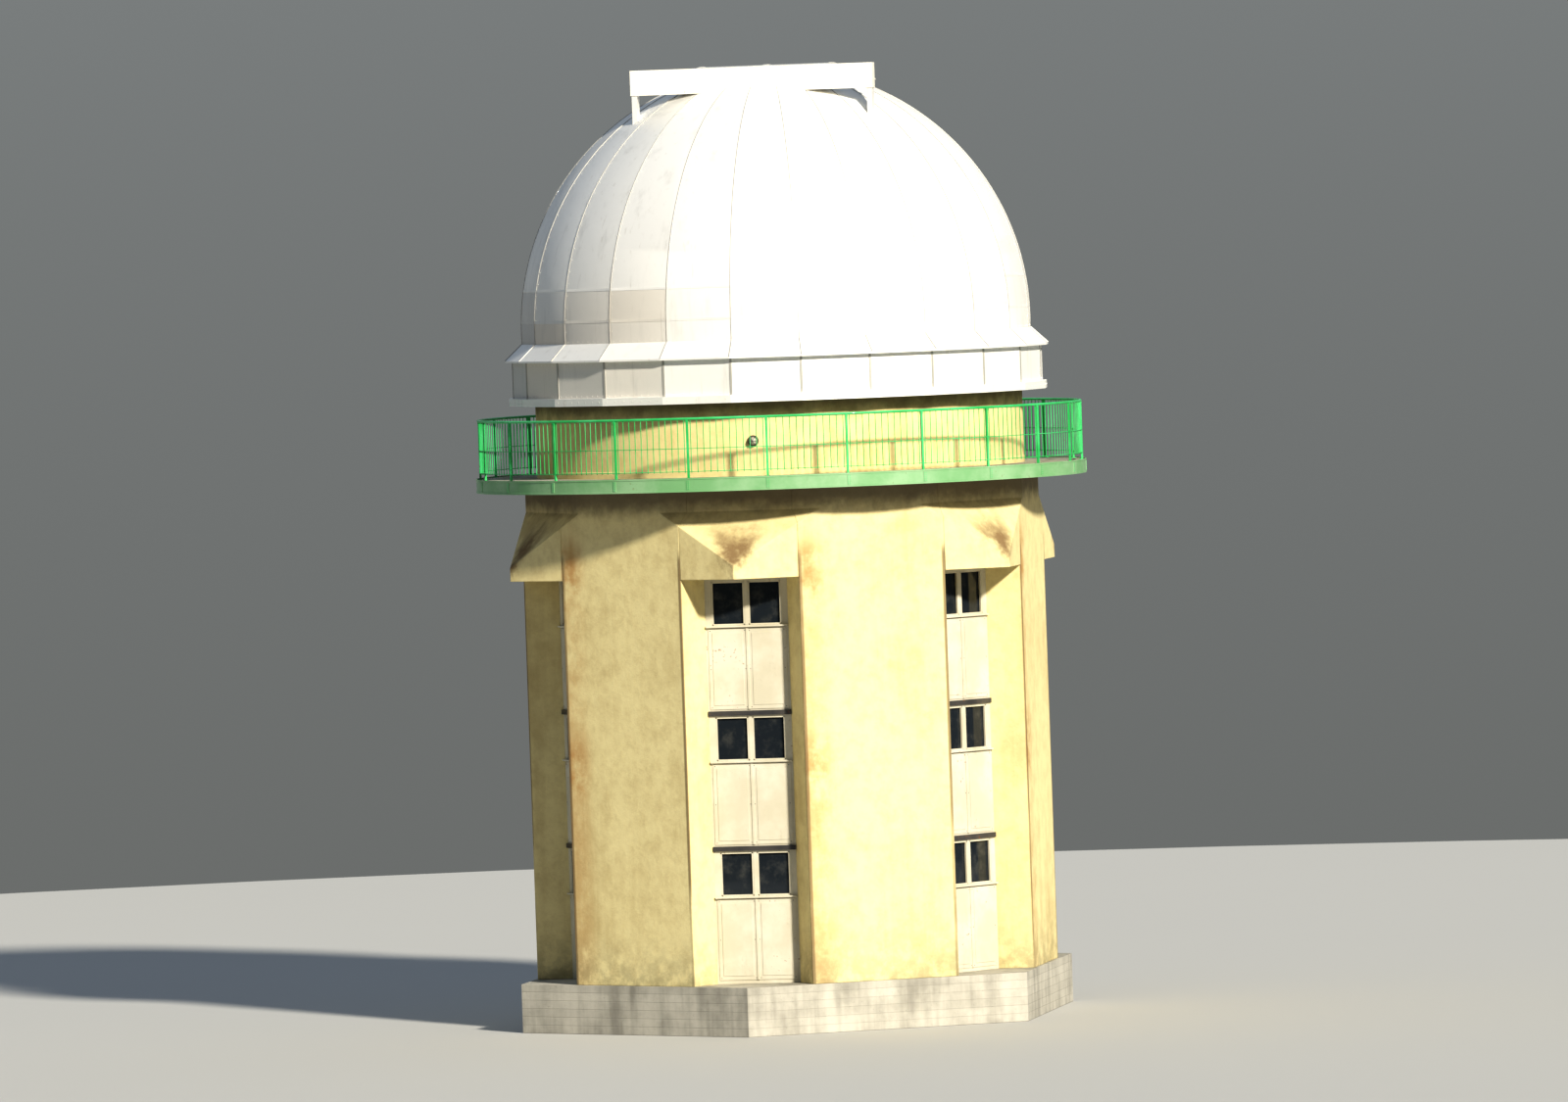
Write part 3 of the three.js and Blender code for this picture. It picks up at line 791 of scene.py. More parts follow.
def linked(name: str, mesh: bpy.types.Mesh) -> bpy.types.Object:
    """Puts a mesh in the scene.

    Args:
        name: The object's name.
        mesh: The mesh.

    Returns:
        The new object.
    """
    made = bpy.data.objects.new(name, mesh)
    bpy.context.scene.collection.objects.link(made)
    return made


def settled(piece: bpy.types.Object, body: Body, stands_for: Sequence[str] = ()) -> None:
    """Says what a finished piece rides on and stands for.

    Args:
        piece: The piece.
        body: The body that it rides on.
        stands_for: The CAD nodes that it stands for.
    """
    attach(piece, body.value)
    if stands_for:
        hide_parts(*stands_for)
    LOG.info("%s: %d faces, on %s", piece.name, len(piece.data.polygons), body.value)


class Recipe(Graph):
    """A Geometry Nodes tree, with named inputs, that makes one mesh."""

    def __init__(self, name: str) -> None:
        """Starts an empty tree with a geometry output.

        Args:
            name: The tree's name.
        """
        super().__init__(bpy.data.node_groups.new(name, "GeometryNodeTree"))
        sockets = self.tree.interface
        sockets.new_socket("Geometry", in_out="INPUT", socket_type="NodeSocketGeometry")
        sockets.new_socket("Geometry", in_out="OUTPUT", socket_type="NodeSocketGeometry")
        self.source = self.node("NodeGroupInput")
        self.values: dict[str, object] = {}

    def number(self, name: str, value: float) -> Field:
        """Adds a named number input and returns it.

        Args:
            name: The input's name.
            value: What the modifier sets it to.

        Returns:
            The input as a field.
        """
        kind = "NodeSocketInt" if isinstance(value, int) else "NodeSocketFloat"
        socket = self.tree.interface.new_socket(name, in_out="INPUT", socket_type=kind)
        self.values[socket.identifier] = value
        return Field(self, self.source.outputs[name])

    def index(self) -> Field:
        """Returns each point's own number."""
        return Field(self, self.node("GeometryNodeInputIndex").outputs[0])

    def copies(self, points: object, part: object, turn: object) -> bpy.types.NodeSocket:
        """Places a part on every point.

        Args:
            points: The points.
            part: The part's geometry.
            turn: How each copy is turned.

        Returns:
            The copies, as real geometry.
        """
        inputs = {"Points": points, "Instance": part, "Rotation": turn}
        placed = self.node("GeometryNodeInstanceOnPoints", inputs=inputs).outputs[0]
        return self.node("GeometryNodeRealizeInstances", inputs={0: placed}).outputs[0]

    def turned_copies(self, points: object, part: object, angle: Field) -> bpy.types.NodeSocket:
        """Places a part that faces -Y on every point, turned about Z.

        Args:
            points: The points.
            part: The part's geometry.
            angle: Each point's own angle.

        Returns:
            The copies, as real geometry.
        """
        kept = self.node("GeometryNodeStoreNamedAttribute", {"data_type": "FLOAT"}, {
            "Geometry": points, "Name": "turn", 3: angle,
        }).outputs[0]
        stored = self.node("GeometryNodeInputNamedAttribute", {"data_type": "FLOAT"}, {"Name": "turn"})
        about_z = self.vector(0.0, 0.0, Field(self, stored.outputs[0]))
        turn = self.node("FunctionNodeEulerToRotation", inputs={0: about_z}).outputs[0]
        return self.copies(kept, part, turn)

    def cook(
        self, name: str, geometry: bpy.types.NodeSocket, finish: Finish, base: bpy.types.Mesh | None = None,
        trim: Callable[[bmesh.types.BMesh], None] | None = None,
    ) -> bpy.types.Object:
        """Runs the tree once and keeps its plain mesh.

        Args:
            name: The new object's name.
            geometry: The tree's result, before its material is set.
            finish: The finish of the mesh.
            base: A mesh that the tree starts from, where it has one.
            trim: A cut that is made on the finished mesh, where there is one.

        Returns:
            The object, at the origin and with no modifier.
        """
        dressed = self.node("GeometryNodeSetMaterial", inputs={0: geometry, "Material": finish.material()})
        self.node("NodeGroupOutput", inputs={0: dressed.outputs[0]})
        holder = linked(name, base or bpy.data.meshes.new(f"{name}_base"))
        modifier = holder.modifiers.new("recipe", "NODES")
        modifier.node_group = self.tree
        for identifier, value in self.values.items():
            modifier[identifier] = value
        ready = bpy.context.evaluated_depsgraph_get()
        mesh = bpy.data.meshes.new_from_object(holder.evaluated_get(ready))
        holder.modifiers.remove(modifier)
        finish_mesh(mesh, math.radians(40), True, trim)
        # The tree leaves an empty slot before its own.
        mesh.materials.clear()
        mesh.materials.append(finish.material())
        mesh.name = name
        holder.data = mesh
        return holder


class Part(Enum):
    """The small parts that stand in rows."""

    BLOCK = "block"
    ROUND = "round"


@dataclass(frozen=True)
class Circle:
    """A row of like parts that stand round the tower's axis, all facing outwards."""

    name: str
    part: Part
    size: Point
    count: int
    radius: float
    height: float
    first: float = 0.0

    def make(self, finish: Finish) -> bpy.types.Object:
        """Builds the row.

        Args:
            finish: Its finish.

        Returns:
            The row, as one object.
        """
        recipe = Recipe(self.name)
        count = recipe.number("Count", self.count)
        radius = recipe.number("Radius", self.radius)
        height = recipe.number("Height", self.height)
        first = recipe.number("First angle", self.first)
        step = recipe.number("Step", math.tau / self.count)
        angle = first + recipe.index() * step
        sine, cosine = recipe.math("SINE", angle), recipe.math("COSINE", angle)
        place = recipe.vector(radius * sine, 0.0 - radius * cosine, height)
        row = recipe.node("GeometryNodePoints", inputs={"Count": count, "Position": place}).outputs[0]
        return recipe.cook(self.name, recipe.turned_copies(row, self._part(recipe), angle), finish)

    def _part(self, recipe: Recipe) -> bpy.types.NodeSocket:
        """Adds the nodes of one part, centred on its point.

        Args:
            recipe: The tree that the nodes go in.

        Returns:
            The part's geometry.
        """
        if self.part is Part.BLOCK:
            return recipe.node("GeometryNodeMeshCube", inputs={"Size": self.size}).outputs[0]
        width, _, height = self.size
        shape = {"Vertices": 8, "Radius": width / 2, "Depth": height}
        return recipe.node("GeometryNodeMeshCylinder", inputs=shape).outputs[0]


@dataclass
class Studs:
    """Bolt heads or rivets at chosen points, each standing out along its own direction."""

    name: str
    radius: float
    height: float
    sides: int = 6
    places: list[tuple[Vector, Vector]] = field(default_factory=list)

    def put(self, place: Sequence[float], outwards: Sequence[float]) -> None:
        """Adds one stud at a place on a surface that faces outwards."""
        self.places.append((Vector(place), Vector(outwards).normalized()))

    def make(self, finish: Finish) -> bpy.types.Object:
        """Builds the studs.

        Args:
            finish: Their finish.

        Returns:
            The studs, as one object.
        """
        base = bpy.data.meshes.new(f"{self.name}_points")
        base.from_pydata([tuple(place) for place, _ in self.places], [], [])
        attribute = base.attributes.new("outwards", "FLOAT_VECTOR", "POINT")
        attribute.data.foreach_set("vector", [number for _, way in self.places for number in way])
        recipe = Recipe(self.name)
        radius = recipe.number("Radius", self.radius)
        height = recipe.number("Height", self.height)
        shape = {"Vertices": self.sides, "Radius": radius, "Depth": height}
        head = recipe.node("GeometryNodeMeshCylinder", inputs=shape).outputs[0]
        kind = {"data_type": "FLOAT_VECTOR"}
        way = recipe.node("GeometryNodeInputNamedAttribute", kind, {"Name": "outwards"})
        turn = recipe.node("FunctionNodeAlignRotationToVector", {"axis": "Z"}, {"Vector": way.outputs[0]})
        heads = recipe.copies(recipe.source.outputs[0], head, turn.outputs[0])
        return recipe.cook(self.name, heads, finish, base)


def dressed_copy(node: bpy.types.Object, name: str, finish: Finish, width: float) -> bpy.types.Object:
    """Copies a CAD node's mesh with its corners eased.

    Args:
        node: The CAD node.
        name: The copy's name.
        finish: The copy's finish.
        width: How wide the eased corners are.

    Returns:
        The copy, at the origin.
    """
    weld, flat, corner = 1e-5, math.radians(0.5), math.radians(20)
    work = bmesh.new()
    work.from_mesh(node.data)
    bmesh.ops.remove_doubles(work, verts=work.verts, dist=weld)
    bmesh.ops.dissolve_limit(work, angle_limit=flat, verts=work.verts, edges=work.edges)
    corners = [edge for edge in work.edges if len(edge.link_faces) == 2 and edge.calc_face_angle() > corner]
    bmesh.ops.bevel(
        work, geom=corners, offset=width, offset_type="OFFSET", segments=2, profile=0.6, affect="EDGES",
        clamp_overlap=True,
    )
    bmesh.ops.recalc_face_normals(work, faces=work.faces)
    for face in work.faces:
        face.smooth = False
    mesh = bpy.data.meshes.new(name)
    work.to_mesh(mesh)
    work.free()
    mesh.materials.append(finish.material())
    return linked(name, mesh)


def ease_corners(piece: bpy.types.Object, width: float) -> None:
    """Eases a piece's corners with a bevel that is kept as a modifier.

    Args:
        piece: The piece.
        width: How wide the eased corners are.
    """
    modifier = piece.modifiers.new("eased", "BEVEL")
    modifier.width = width
    modifier.segments = 2
    modifier.limit_method = "ANGLE"
    modifier.angle_limit = math.radians(35)


def repaint(node: bpy.types.Object, finish: Finish) -> None:
    """Gives a CAD node that stays in view its finish.

    Args:
        node: The CAD node.
        finish: Its finish.
    """
    node.data.materials.clear()
    node.data.materials.append(finish.material())


@dataclass
class Shaft:
    """The six flat piers, the hooded lintels between them, the plinth and the floors."""

    nodes: dict[str, bpy.types.Object]
    arris: float = 0.014
    floors: tuple[str, ...] = (
        "ground_floor", "storey_floor_1", "storey_floor_2", "observing_floor", "balcony_slab",
    )

    def build(self) -> None:
        """Builds and dresses every piece of the shaft."""
        for stem in ("pier", "lintel"):
            for i in range(1, SIDES + 1):
                self._ease(f"{stem}_{i}", Finishes.wall)
        self._ease("plinth", Finishes.concrete)
        for name in self.floors:
            repaint(self.nodes[name], Finishes.concrete)

    def _ease(self, name: str, finish: Finish) -> None:
        """Replaces one masonry node by a copy with worn corners."""
        copy = dressed_copy(self.nodes[name], f"{name}_masonry", finish, self.arris)
        settled(copy, Body.TOWER, [name])


def in_bay(angle: float, x: float, out: float, z: float) -> Matrix:
    """Returns the placing of a part in a bay: sideways, out from the axis, and up."""
    return Matrix.Rotation(angle, 4, "Z") @ Matrix.Translation((x, -out, z))


@dataclass
class Windows:
    """Each bay's frame, casements, panels, sills and flashings."""

    nodes: dict[str, bpy.types.Object]
    half_width: float = 0.8107
    face: float = 4.4048
    plinth_top: float = 0.948
    head: float = 8.79
    storeys: int = 3
    eased: float = 0.004
    frame_bar: float = 0.07
    frame_eased: float = 0.006
    pane_height: float = 0.85
    pane_edge: float = 0.6807
    rail_width: float = 0.032
    rail_depth: float = 0.045
    rail_recess: float = 0.028
    sill_play: float = 0.03
    sill_depth: float = 0.075
    sill_height: float = 0.035
    sill_out: float = 0.03
    sill_drop: float = 0.02
    flashing_play: float = 0.01
    flashing_depth: float = 0.05
    flashing_height: float = 0.09
    flashing_out: float = 0.018
    panel_foot: float = 0.075
    panel_head: float = 0.06
    panel_side: float = 0.04
    panel_gap: float = 0.012
    panel_depth: float = 0.016
    panel_out: float = 0.006
    panel_rim: float = 0.08
    raised_depth: float = 0.012
    raised_out: float = 0.018
    raised_least: float = 0.1
    cover_width: float = 0.05
    cover_depth: float = 0.03
    cover_out: float = 0.016
    screw_radius: float = 0.008
    screw_height: float = 0.006
    screw_inset: float = 0.04
    screw_out: float = 0.015

    @property
    def storey(self) -> float:
        """Returns the height of one storey."""
        return (self.head - self.plinth_top) / self.storeys

    def build(self) -> None:
        """Builds and dresses every bay."""
        for bay in range(1, SIDES + 1):
            angle = (bay - 1) * SIDE_ANGLE
            frame = f"window_frame_{bay}"
            copy = dressed_copy(self.nodes[frame], f"{frame}_painted", Finishes.white, self.frame_eased)
            settled(copy, Body.TOWER, [frame])
            repaint(self.nodes[f"window_glass_{bay}"], Finishes.glass)
            self._joinery(bay, angle, DOOR_HEAD if bay == DOOR_BAY else self.plinth_top)

    def _joinery(self, bay: int, angle: float, foot: float) -> None:
        """Builds one bay's casements, sills, storey flashings and spandrel panels.

        Args:
            bay: The bay's number.
            angle: Where it is round the tower.
            foot: The height that its window starts from.
        """
        light, dark = Draft(), Draft()
        studs = Studs(f"window_screws_{bay}", self.screw_radius, self.screw_height)
        for level in range(self.storeys):
            line = self.plinth_top + level * self.storey
            head = self.plinth_top + (level + 1) * self.storey - self.frame_bar
            sill = head - self.pane_height
            if head < foot:
                continue
            self._glazing(light, angle, sill, head)
            board = (2 * self.half_width - self.sill_play, self.sill_depth, self.sill_height)
            light.block(board, in_bay(angle, 0, self.face + self.sill_out, sill - self.sill_drop))
            self._panels(light, studs, angle, max(foot, line) + self.panel_foot, sill - self.panel_head)
            if level and line > foot:
                length = 2 * self.half_width - self.flashing_play
                strip = (length, self.flashing_depth, self.flashing_height)
                dark.block(strip, in_bay(angle, 0, self.face + self.flashing_out, line))
        piece = light.make(f"window_joinery_{bay}", [Finishes.white])
        ease_corners(piece, self.eased)
        settled(piece, Body.TOWER)
        if dark.points:
            settled(dark.make(f"storey_flashing_{bay}", [Finishes.steel]), Body.TOWER)
        settled(studs.make(Finishes.steel), Body.TOWER)

    def _glazing(self, draft: Draft, angle: float, sill: float, head: float) -> None:
        """Adds the casement rails of one storey's two panes.

        Args:
            draft: The mesh that they go in.
            angle: Where the bay is round the tower.
            sill: The foot of the panes.
            head: The top of the panes.
        """
        middle, rail, depth = (sill + head) / 2, self.rail_width, self.rail_depth
        near, far, out = self.frame_bar / 2, self.pane_edge, self.face - self.rail_recess
        for side in (-1, 1):
            centre, width = side * (near + far) / 2, far - near
            for x in (near + rail / 2, far - rail / 2):
                draft.block((rail, depth, head - sill), in_bay(angle, side * x, out, middle))
            for z in (sill + rail / 2, head - rail / 2):
                draft.block((width, depth, rail), in_bay(angle, centre, out, z))

    def _panels(self, draft: Draft, studs: Studs, angle: float, low: float, high: float) -> None:
        """Adds the two spandrel panels under a storey's glass, with their cover strip and screws.

        Args:
            draft: The mesh that the panels go in.
            studs: The screws.
            angle: Where the bay is round the tower.
            low: The foot of the panels.
            high: The top of the panels.
        """
        if high - low < self.panel_rim:
            return
        width, middle = self.half_width - self.panel_side - self.panel_gap, (low + high) / 2
        turn = Matrix.Rotation(angle, 3, "Z")
        outwards = turn @ Vector((0, -1, 0))
        for side in (-1, 1):
            centre = side * (self.panel_gap / 2 + width / 2)
            board = (width, self.panel_depth, high - low)
            draft.block(board, in_bay(angle, centre, self.face + self.panel_out, middle))
            raised = (width - 2 * self.panel_rim, self.raised_depth, high - low - 2 * self.panel_rim)
            if raised[2] > self.raised_least:
                draft.block(raised, in_bay(angle, centre, self.face + self.raised_out, middle))
            reach = width / 2 - self.screw_inset
            for x in (centre - reach, centre + reach):
                for z in (low + self.screw_inset, middle, high - self.screw_inset):
                    studs.put(turn @ Vector((x, -self.face - self.screw_out, z)), outwards)
        cover = (self.cover_width, self.cover_depth, high - low)
        draft.block(cover, in_bay(angle, 0, self.face + self.cover_out, middle))


@dataclass
class Entrance:
    """The rear bay's two panelled leaves, with their frame, hinges, handle and weather strip."""

    angle: float = (DOOR_BAY - 1) * SIDE_ANGLE
    head: float = DOOR_HEAD
    threshold: float = 0.15
    half_width: float = 0.7697
    back: float = 4.3448
    clearance: float = 0.001
    eased: float = 0.004
    jamb_width: float = 0.06
    jamb_depth: float = 0.058
    jamb_out: float = 0.03
    leaf_gap: float = 0.004
    leaf_depth: float = 0.036
    leaf_recess: float = 0.008
    lower_panel: Pair = (0.14, 0.86)
    upper_panel_foot: float = 0.98
    upper_panel_head: float = 0.12
    panel_sides: float = 0.2
    panel_depth: float = 0.014
    panel_out: float = 0.012
    raised_rims: float = 0.1
    raised_depth: float = 0.012
    raised_out: float = 0.021
    strip_width: float = 0.045
    strip_depth: float = 0.014
    strip_out: float = 0.014
    hinge: Point = (0.11, 0.012, 0.035)
    hinge_end: float = 0.25
    hinge_middle: float = 1.05
    hinge_inset: float = 0.02
    hinge_out: float = 0.016
    handle: Point = (0.05, 0.008, 0.24)
    handle_side: float = 0.09
    handle_out: float = 0.018
    handle_height: float = 0.92
    lever_rise: float = 0.04
    lever_out: float = 0.05
    lever_length: float = 0.13
    lever_radius: float = 0.009

    @property
    def foot(self) -> float:
        """Returns the height that the frame and the leaves start from."""
        return self.threshold + self.clearance

    @property
    def top(self) -> float:
        """Returns the height that the frame ends at."""
        return self.head - self.clearance

    @property
    def leaf_top(self) -> float:
        """Returns the height that the leaves end at."""
        return self.top - self.jamb_width - self.leaf_gap

    @property
    def leaf_width(self) -> float:
        """Returns the width of one leaf's half of the opening."""
        return self.half_width - self.jamb_width - self.leaf_gap

    def build(self) -> None:
        """Builds the leaves in their frame, and the ironwork."""
        doors, iron = Draft(), Draft()
        self._frame(doors)
        for side in (-1, 1):
            self._leaf(doors, iron, side)
        strip = (self.strip_width, self.strip_depth, self.leaf_top - self.foot)
        doors.block(strip, self._at(0, self.strip_out, (self.foot + self.leaf_top) / 2))
        self._handle(iron)
        leaves = doors.make("entrance_door_leaves", [Finishes.door])
        ease_corners(leaves, self.eased)
        settled(leaves, Body.TOWER, ["entrance_door"])
        settled(iron.make("entrance_door_ironwork", [Finishes.steel]), Body.TOWER)

    def _at(self, x: float, proud: float, z: float) -> Matrix:
        """Returns the placing of a part: sideways, out of the middle of the frame's depth, and up."""
        return in_bay(self.angle, x, self.back + self.jamb_out + proud, z)

    def _frame(self, draft: Draft) -> None:
        """Adds the two posts and the head of the frame.

        Args:
            draft: The mesh that they go in.
        """
        jamb, depth, middle = self.jamb_width, self.jamb_depth, (self.foot + self.top) / 2
        for side in (-1, 1):
            post = self._at(side * (self.half_width - jamb / 2), 0, middle)
            draft.block((jamb, depth, self.top - self.foot), post)
        draft.block((2 * self.half_width - 2 * jamb, depth, jamb), self._at(0, 0, self.top - jamb / 2))

    def _leaf(self, draft: Draft, iron: Draft, side: int) -> None:
        """Adds one leaf with its two raised panels and its hinges.

        Args:
            draft: The mesh of the leaves.
            iron: The mesh of the ironwork.
            side: 1 for the leaf with the handle and -1 for the other.
        """
        leaf, height = self.leaf_width, self.leaf_top - self.foot
        centre, width = side * (leaf / 2 + self.clearance), leaf - 2 * self.clearance
        board = self._at(centre, -self.leaf_recess, (self.foot + self.leaf_top) / 2)
        draft.block((width, self.leaf_depth, height), board)
        for start, end in (self.lower_panel, (self.upper_panel_foot, height - self.upper_panel_head)):
            middle = self.foot + (start + end) / 2
            panel = (width - self.panel_sides, self.panel_depth, end - start)
            draft.block(panel, self._at(centre, self.panel_out, middle))
            raised = (panel[0] - self.raised_rims, self.raised_depth, panel[2] - self.raised_rims)
            draft.block(raised, self._at(centre, self.raised_out, middle))
        for up in (self.hinge_end, self.hinge_middle, height - self.hinge_end):
            place = self._at(side * (leaf - self.hinge_inset), self.hinge_out, self.foot + up)
            iron.block(self.hinge, place)

    def _handle(self, iron: Draft) -> None:
        """Adds the handle's plate and its bent lever.

        Args:
            iron: The mesh of the ironwork.
        """
        place = self._at(self.handle_side, self.handle_out, self.foot + self.handle_height)
        iron.block(self.handle, place)
        rise, out = self.lever_rise, -self.lever_out
        ends = ((0, 0, rise), (0, out, rise), (self.lever_length, out, rise))
        spindle, elbow, tip = (place @ Vector(end) for end in ends)
        iron.bar(spindle, elbow, self.lever_radius)
        iron.bar(elbow, tip, self.lever_radius)


@dataclass
class Balcony:
    """The balcony's green edge and its barred railing."""

    top: float = 10.75
    fascia_foot: float = 10.5
    fascia_top: float = 10.77
    fascia_inner: float = 5.9603
    fascia_outer: float = 5.9803
    rim: float = 0.03
    rim_step: float = 0.008
    rim_slope: float = 0.004
    sheets: int = 24
    strip_width: float = 0.06
    strip_depth: float = 0.012
    strip_play: float = 0.07
    strip_sunk: float = 0.006
    rivet_radius: float = 0.008
    rivet_height: float = 0.008
    rivet_side: float = 0.018
    rivet_end: float = 0.06
    rivets_up: int = 5
    rail_radius: float = 5.9
    rail_top: float = 11.93
    rail: float = 0.05
    flat_rail_tops: Pair = (11.34, 10.9)
    flat_rail_half: float = 0.019
    flat_rail_height: float = 0.012
    posts: int = 24
    post: float = 0.04
    post_drop: float = 0.02
    collar: Point = (0.048, 0.048, 0.04)
    collar_drop: float = 0.02
    plate: Point = (0.1, 0.1, 0.012)
    plate_middle: float = 0.0065
    bolt_radius: float = 0.009
    bolt_height: float = 0.012
    bolt_side: float = 0.036
    bolt_middle: float = 0.018
    bars: int = 288
    bar_width: float = 0.016
    bar_below: float = 0.03
    bar_above: float = 0.005

    def build(self) -> None:
        """Builds the edge, the rails, the posts and the bars."""
        self._edge()
        self._rails()
        self._posts()
        self._bars()

    def _edge(self) -> None:
        """Builds the edge sheet with its folded rims, its cover strips and their rivets."""
        low, high, step = self.fascia_foot, self.fascia_top, math.tau / self.sheets
        inner, outer = self.fascia_inner, self.fascia_outer
        face, slope = outer - self.rim_step, self.rim + self.rim_slope
        draft = Draft()
        draft.turned([
            (inner, low), (outer, low), (outer, low + self.rim), (face, low + slope),
            (face, high - slope), (outer, high - self.rim), (outer, high), (inner, high),
        ])
        sheet = draft.make("balcony_edge_sheet", [Finishes.fascia])
        settled(sheet, Body.TOWER, ["balcony_fascia"])
        strips = Circle(
            "balcony_edge_strips", Part.BLOCK,
            (self.strip_width, self.strip_depth, high - low - self.strip_play), self.sheets,
            outer - self.strip_sunk, (low + high) / 2, step / 2,
        )
        settled(strips.make(Finishes.fascia), Body.TOWER)
        rivets = Studs("balcony_edge_rivets", self.rivet_radius, self.rivet_height, sides=8)
        reach = high - low - 2 * self.rivet_end
        for i in range(self.sheets):
            for shift in (-self.rivet_side, self.rivet_side):
                angle = step * (i + 0.5) + shift / outer
                for j in range(self.rivets_up):
                    height = low + self.rivet_end + j * reach / (self.rivets_up - 1)
                    rivets.put(around(outer, angle, height), around(1.0, angle, 0.0))
        settled(rivets.make(Finishes.green), Body.TOWER)

    def _rails(self) -> None:
        """Builds the round hand rail and the two flat rails under it."""
        recipe = Recipe("balcony_rails")
        radius = recipe.number("Rail radius", self.rail_radius)
        pipe = recipe.number("Pipe radius", self.rail / 2)
        height = recipe.number("Rail height", self.rail_top - self.rail / 2)
        circle = "GeometryNodeCurvePrimitiveCircle"
        path = recipe.node(circle, inputs={"Resolution": ROUND_STEPS, "Radius": radius}).outputs[0]
        profile = recipe.node(circle, inputs={"Resolution": 16, "Radius": pipe}).outputs[0]
        tube = recipe.node("GeometryNodeCurveToMesh", inputs={0: path, 1: profile}).outputs[0]
        lift = {0: tube, "Translation": recipe.vector(0.0, 0.0, height)}
        lifted = recipe.node("GeometryNodeTransform", inputs=lift).outputs[0]
        settled(recipe.cook("balcony_hand_rail", lifted, Finishes.green), Body.TOWER)
        draft = Draft()
        inner, outer = self.rail_radius - self.flat_rail_half, self.rail_radius + self.flat_rail_half
        for top in self.flat_rail_tops:
            foot = top - self.flat_rail_height
            draft.turned([(inner, foot), (outer, foot), (outer, top), (inner, top)])
        quarters = [f"railing_{i + 1}" for i in range(4)]
        settled(draft.make("balcony_flat_rails", [Finishes.green]), Body.TOWER, quarters)

    def _posts(self) -> None:
        """Builds the posts with their foot plates, bolts and collars."""
        foot, head, step = self.top, self.rail_top - self.post_drop, math.tau / self.posts
        rows = [
            ("balcony_posts", (self.post, self.post, head - foot), (head + foot) / 2),
            ("balcony_post_plates", self.plate, foot + self.plate_middle),
            ("balcony_post_collars", self.collar, self.rail_top - self.rail - self.collar_drop),
        ]
        for name, size, height in rows:
            row = Circle(name, Part.BLOCK, size, self.posts, self.rail_radius, height, step / 2)
            settled(row.make(Finishes.green), Body.TOWER)
        bolts = Studs("balcony_post_bolts", self.bolt_radius, self.bolt_height)
        for i in range(self.posts):
            angle = step * (i + 0.5)
            for across in (-self.bolt_side, self.bolt_side):
                for out in (-self.bolt_side, self.bolt_side):
                    turn, height = angle + across / self.rail_radius, foot + self.bolt_middle
                    bolts.put(around(self.rail_radius + out, turn, height), (0, 0, 1))
        settled(bolts.make(Finishes.steel), Body.TOWER)

    def _bars(self) -> None:
        """Builds the upright bars between the foot rail and the hand rail."""
        low, high = self.flat_rail_tops[1] - self.bar_below, self.rail_top - self.rail + self.bar_above
        size, middle = (self.bar_width, self.bar_width, high - low), (low + high) / 2
        first = math.pi / self.bars
        row = Circle("balcony_bars", Part.ROUND, size, self.bars, self.rail_radius, middle, first)
        settled(row.make(Finishes.green), Body.TOWER)


@dataclass
class Drum:
    """The round wall under the dome, with its lamp and the roller track on top."""

    nodes: dict[str, bpy.types.Object]
    radius: float = 4.78
    wall: float = 0.3
    foot: float = 10.75
    top: float = 12.95
    skirting: float = 0.12
    skirting_slope: float = 0.012
    cornice: float = 0.05
    cornice_slope: float = 0.01
    recess: float = 0.012
    wall_parts: int = 6

    def build(self) -> None:
        """Builds the wall and the lamp, and dresses the track."""
        draft = Draft()
        inner, outer, face = self.radius - self.wall, self.radius, self.radius - self.recess
        base, crown = self.foot + self.skirting, self.top - self.cornice
        draft.turned([
            (inner, self.foot), (outer, self.foot), (outer, base), (face, base + self.skirting_slope),
            (face, crown - self.cornice_slope), (outer, crown), (outer, self.top), (inner, self.top),
        ])
        parts = [f"drum_wall_{i + 1}" for i in range(self.wall_parts)]
        settled(draft.make("drum_rendered_wall", [Finishes.drum]), Body.TOWER, parts)
        repaint(self.nodes["roller_track"], Finishes.steel)
        Lamp(self.radius).build()


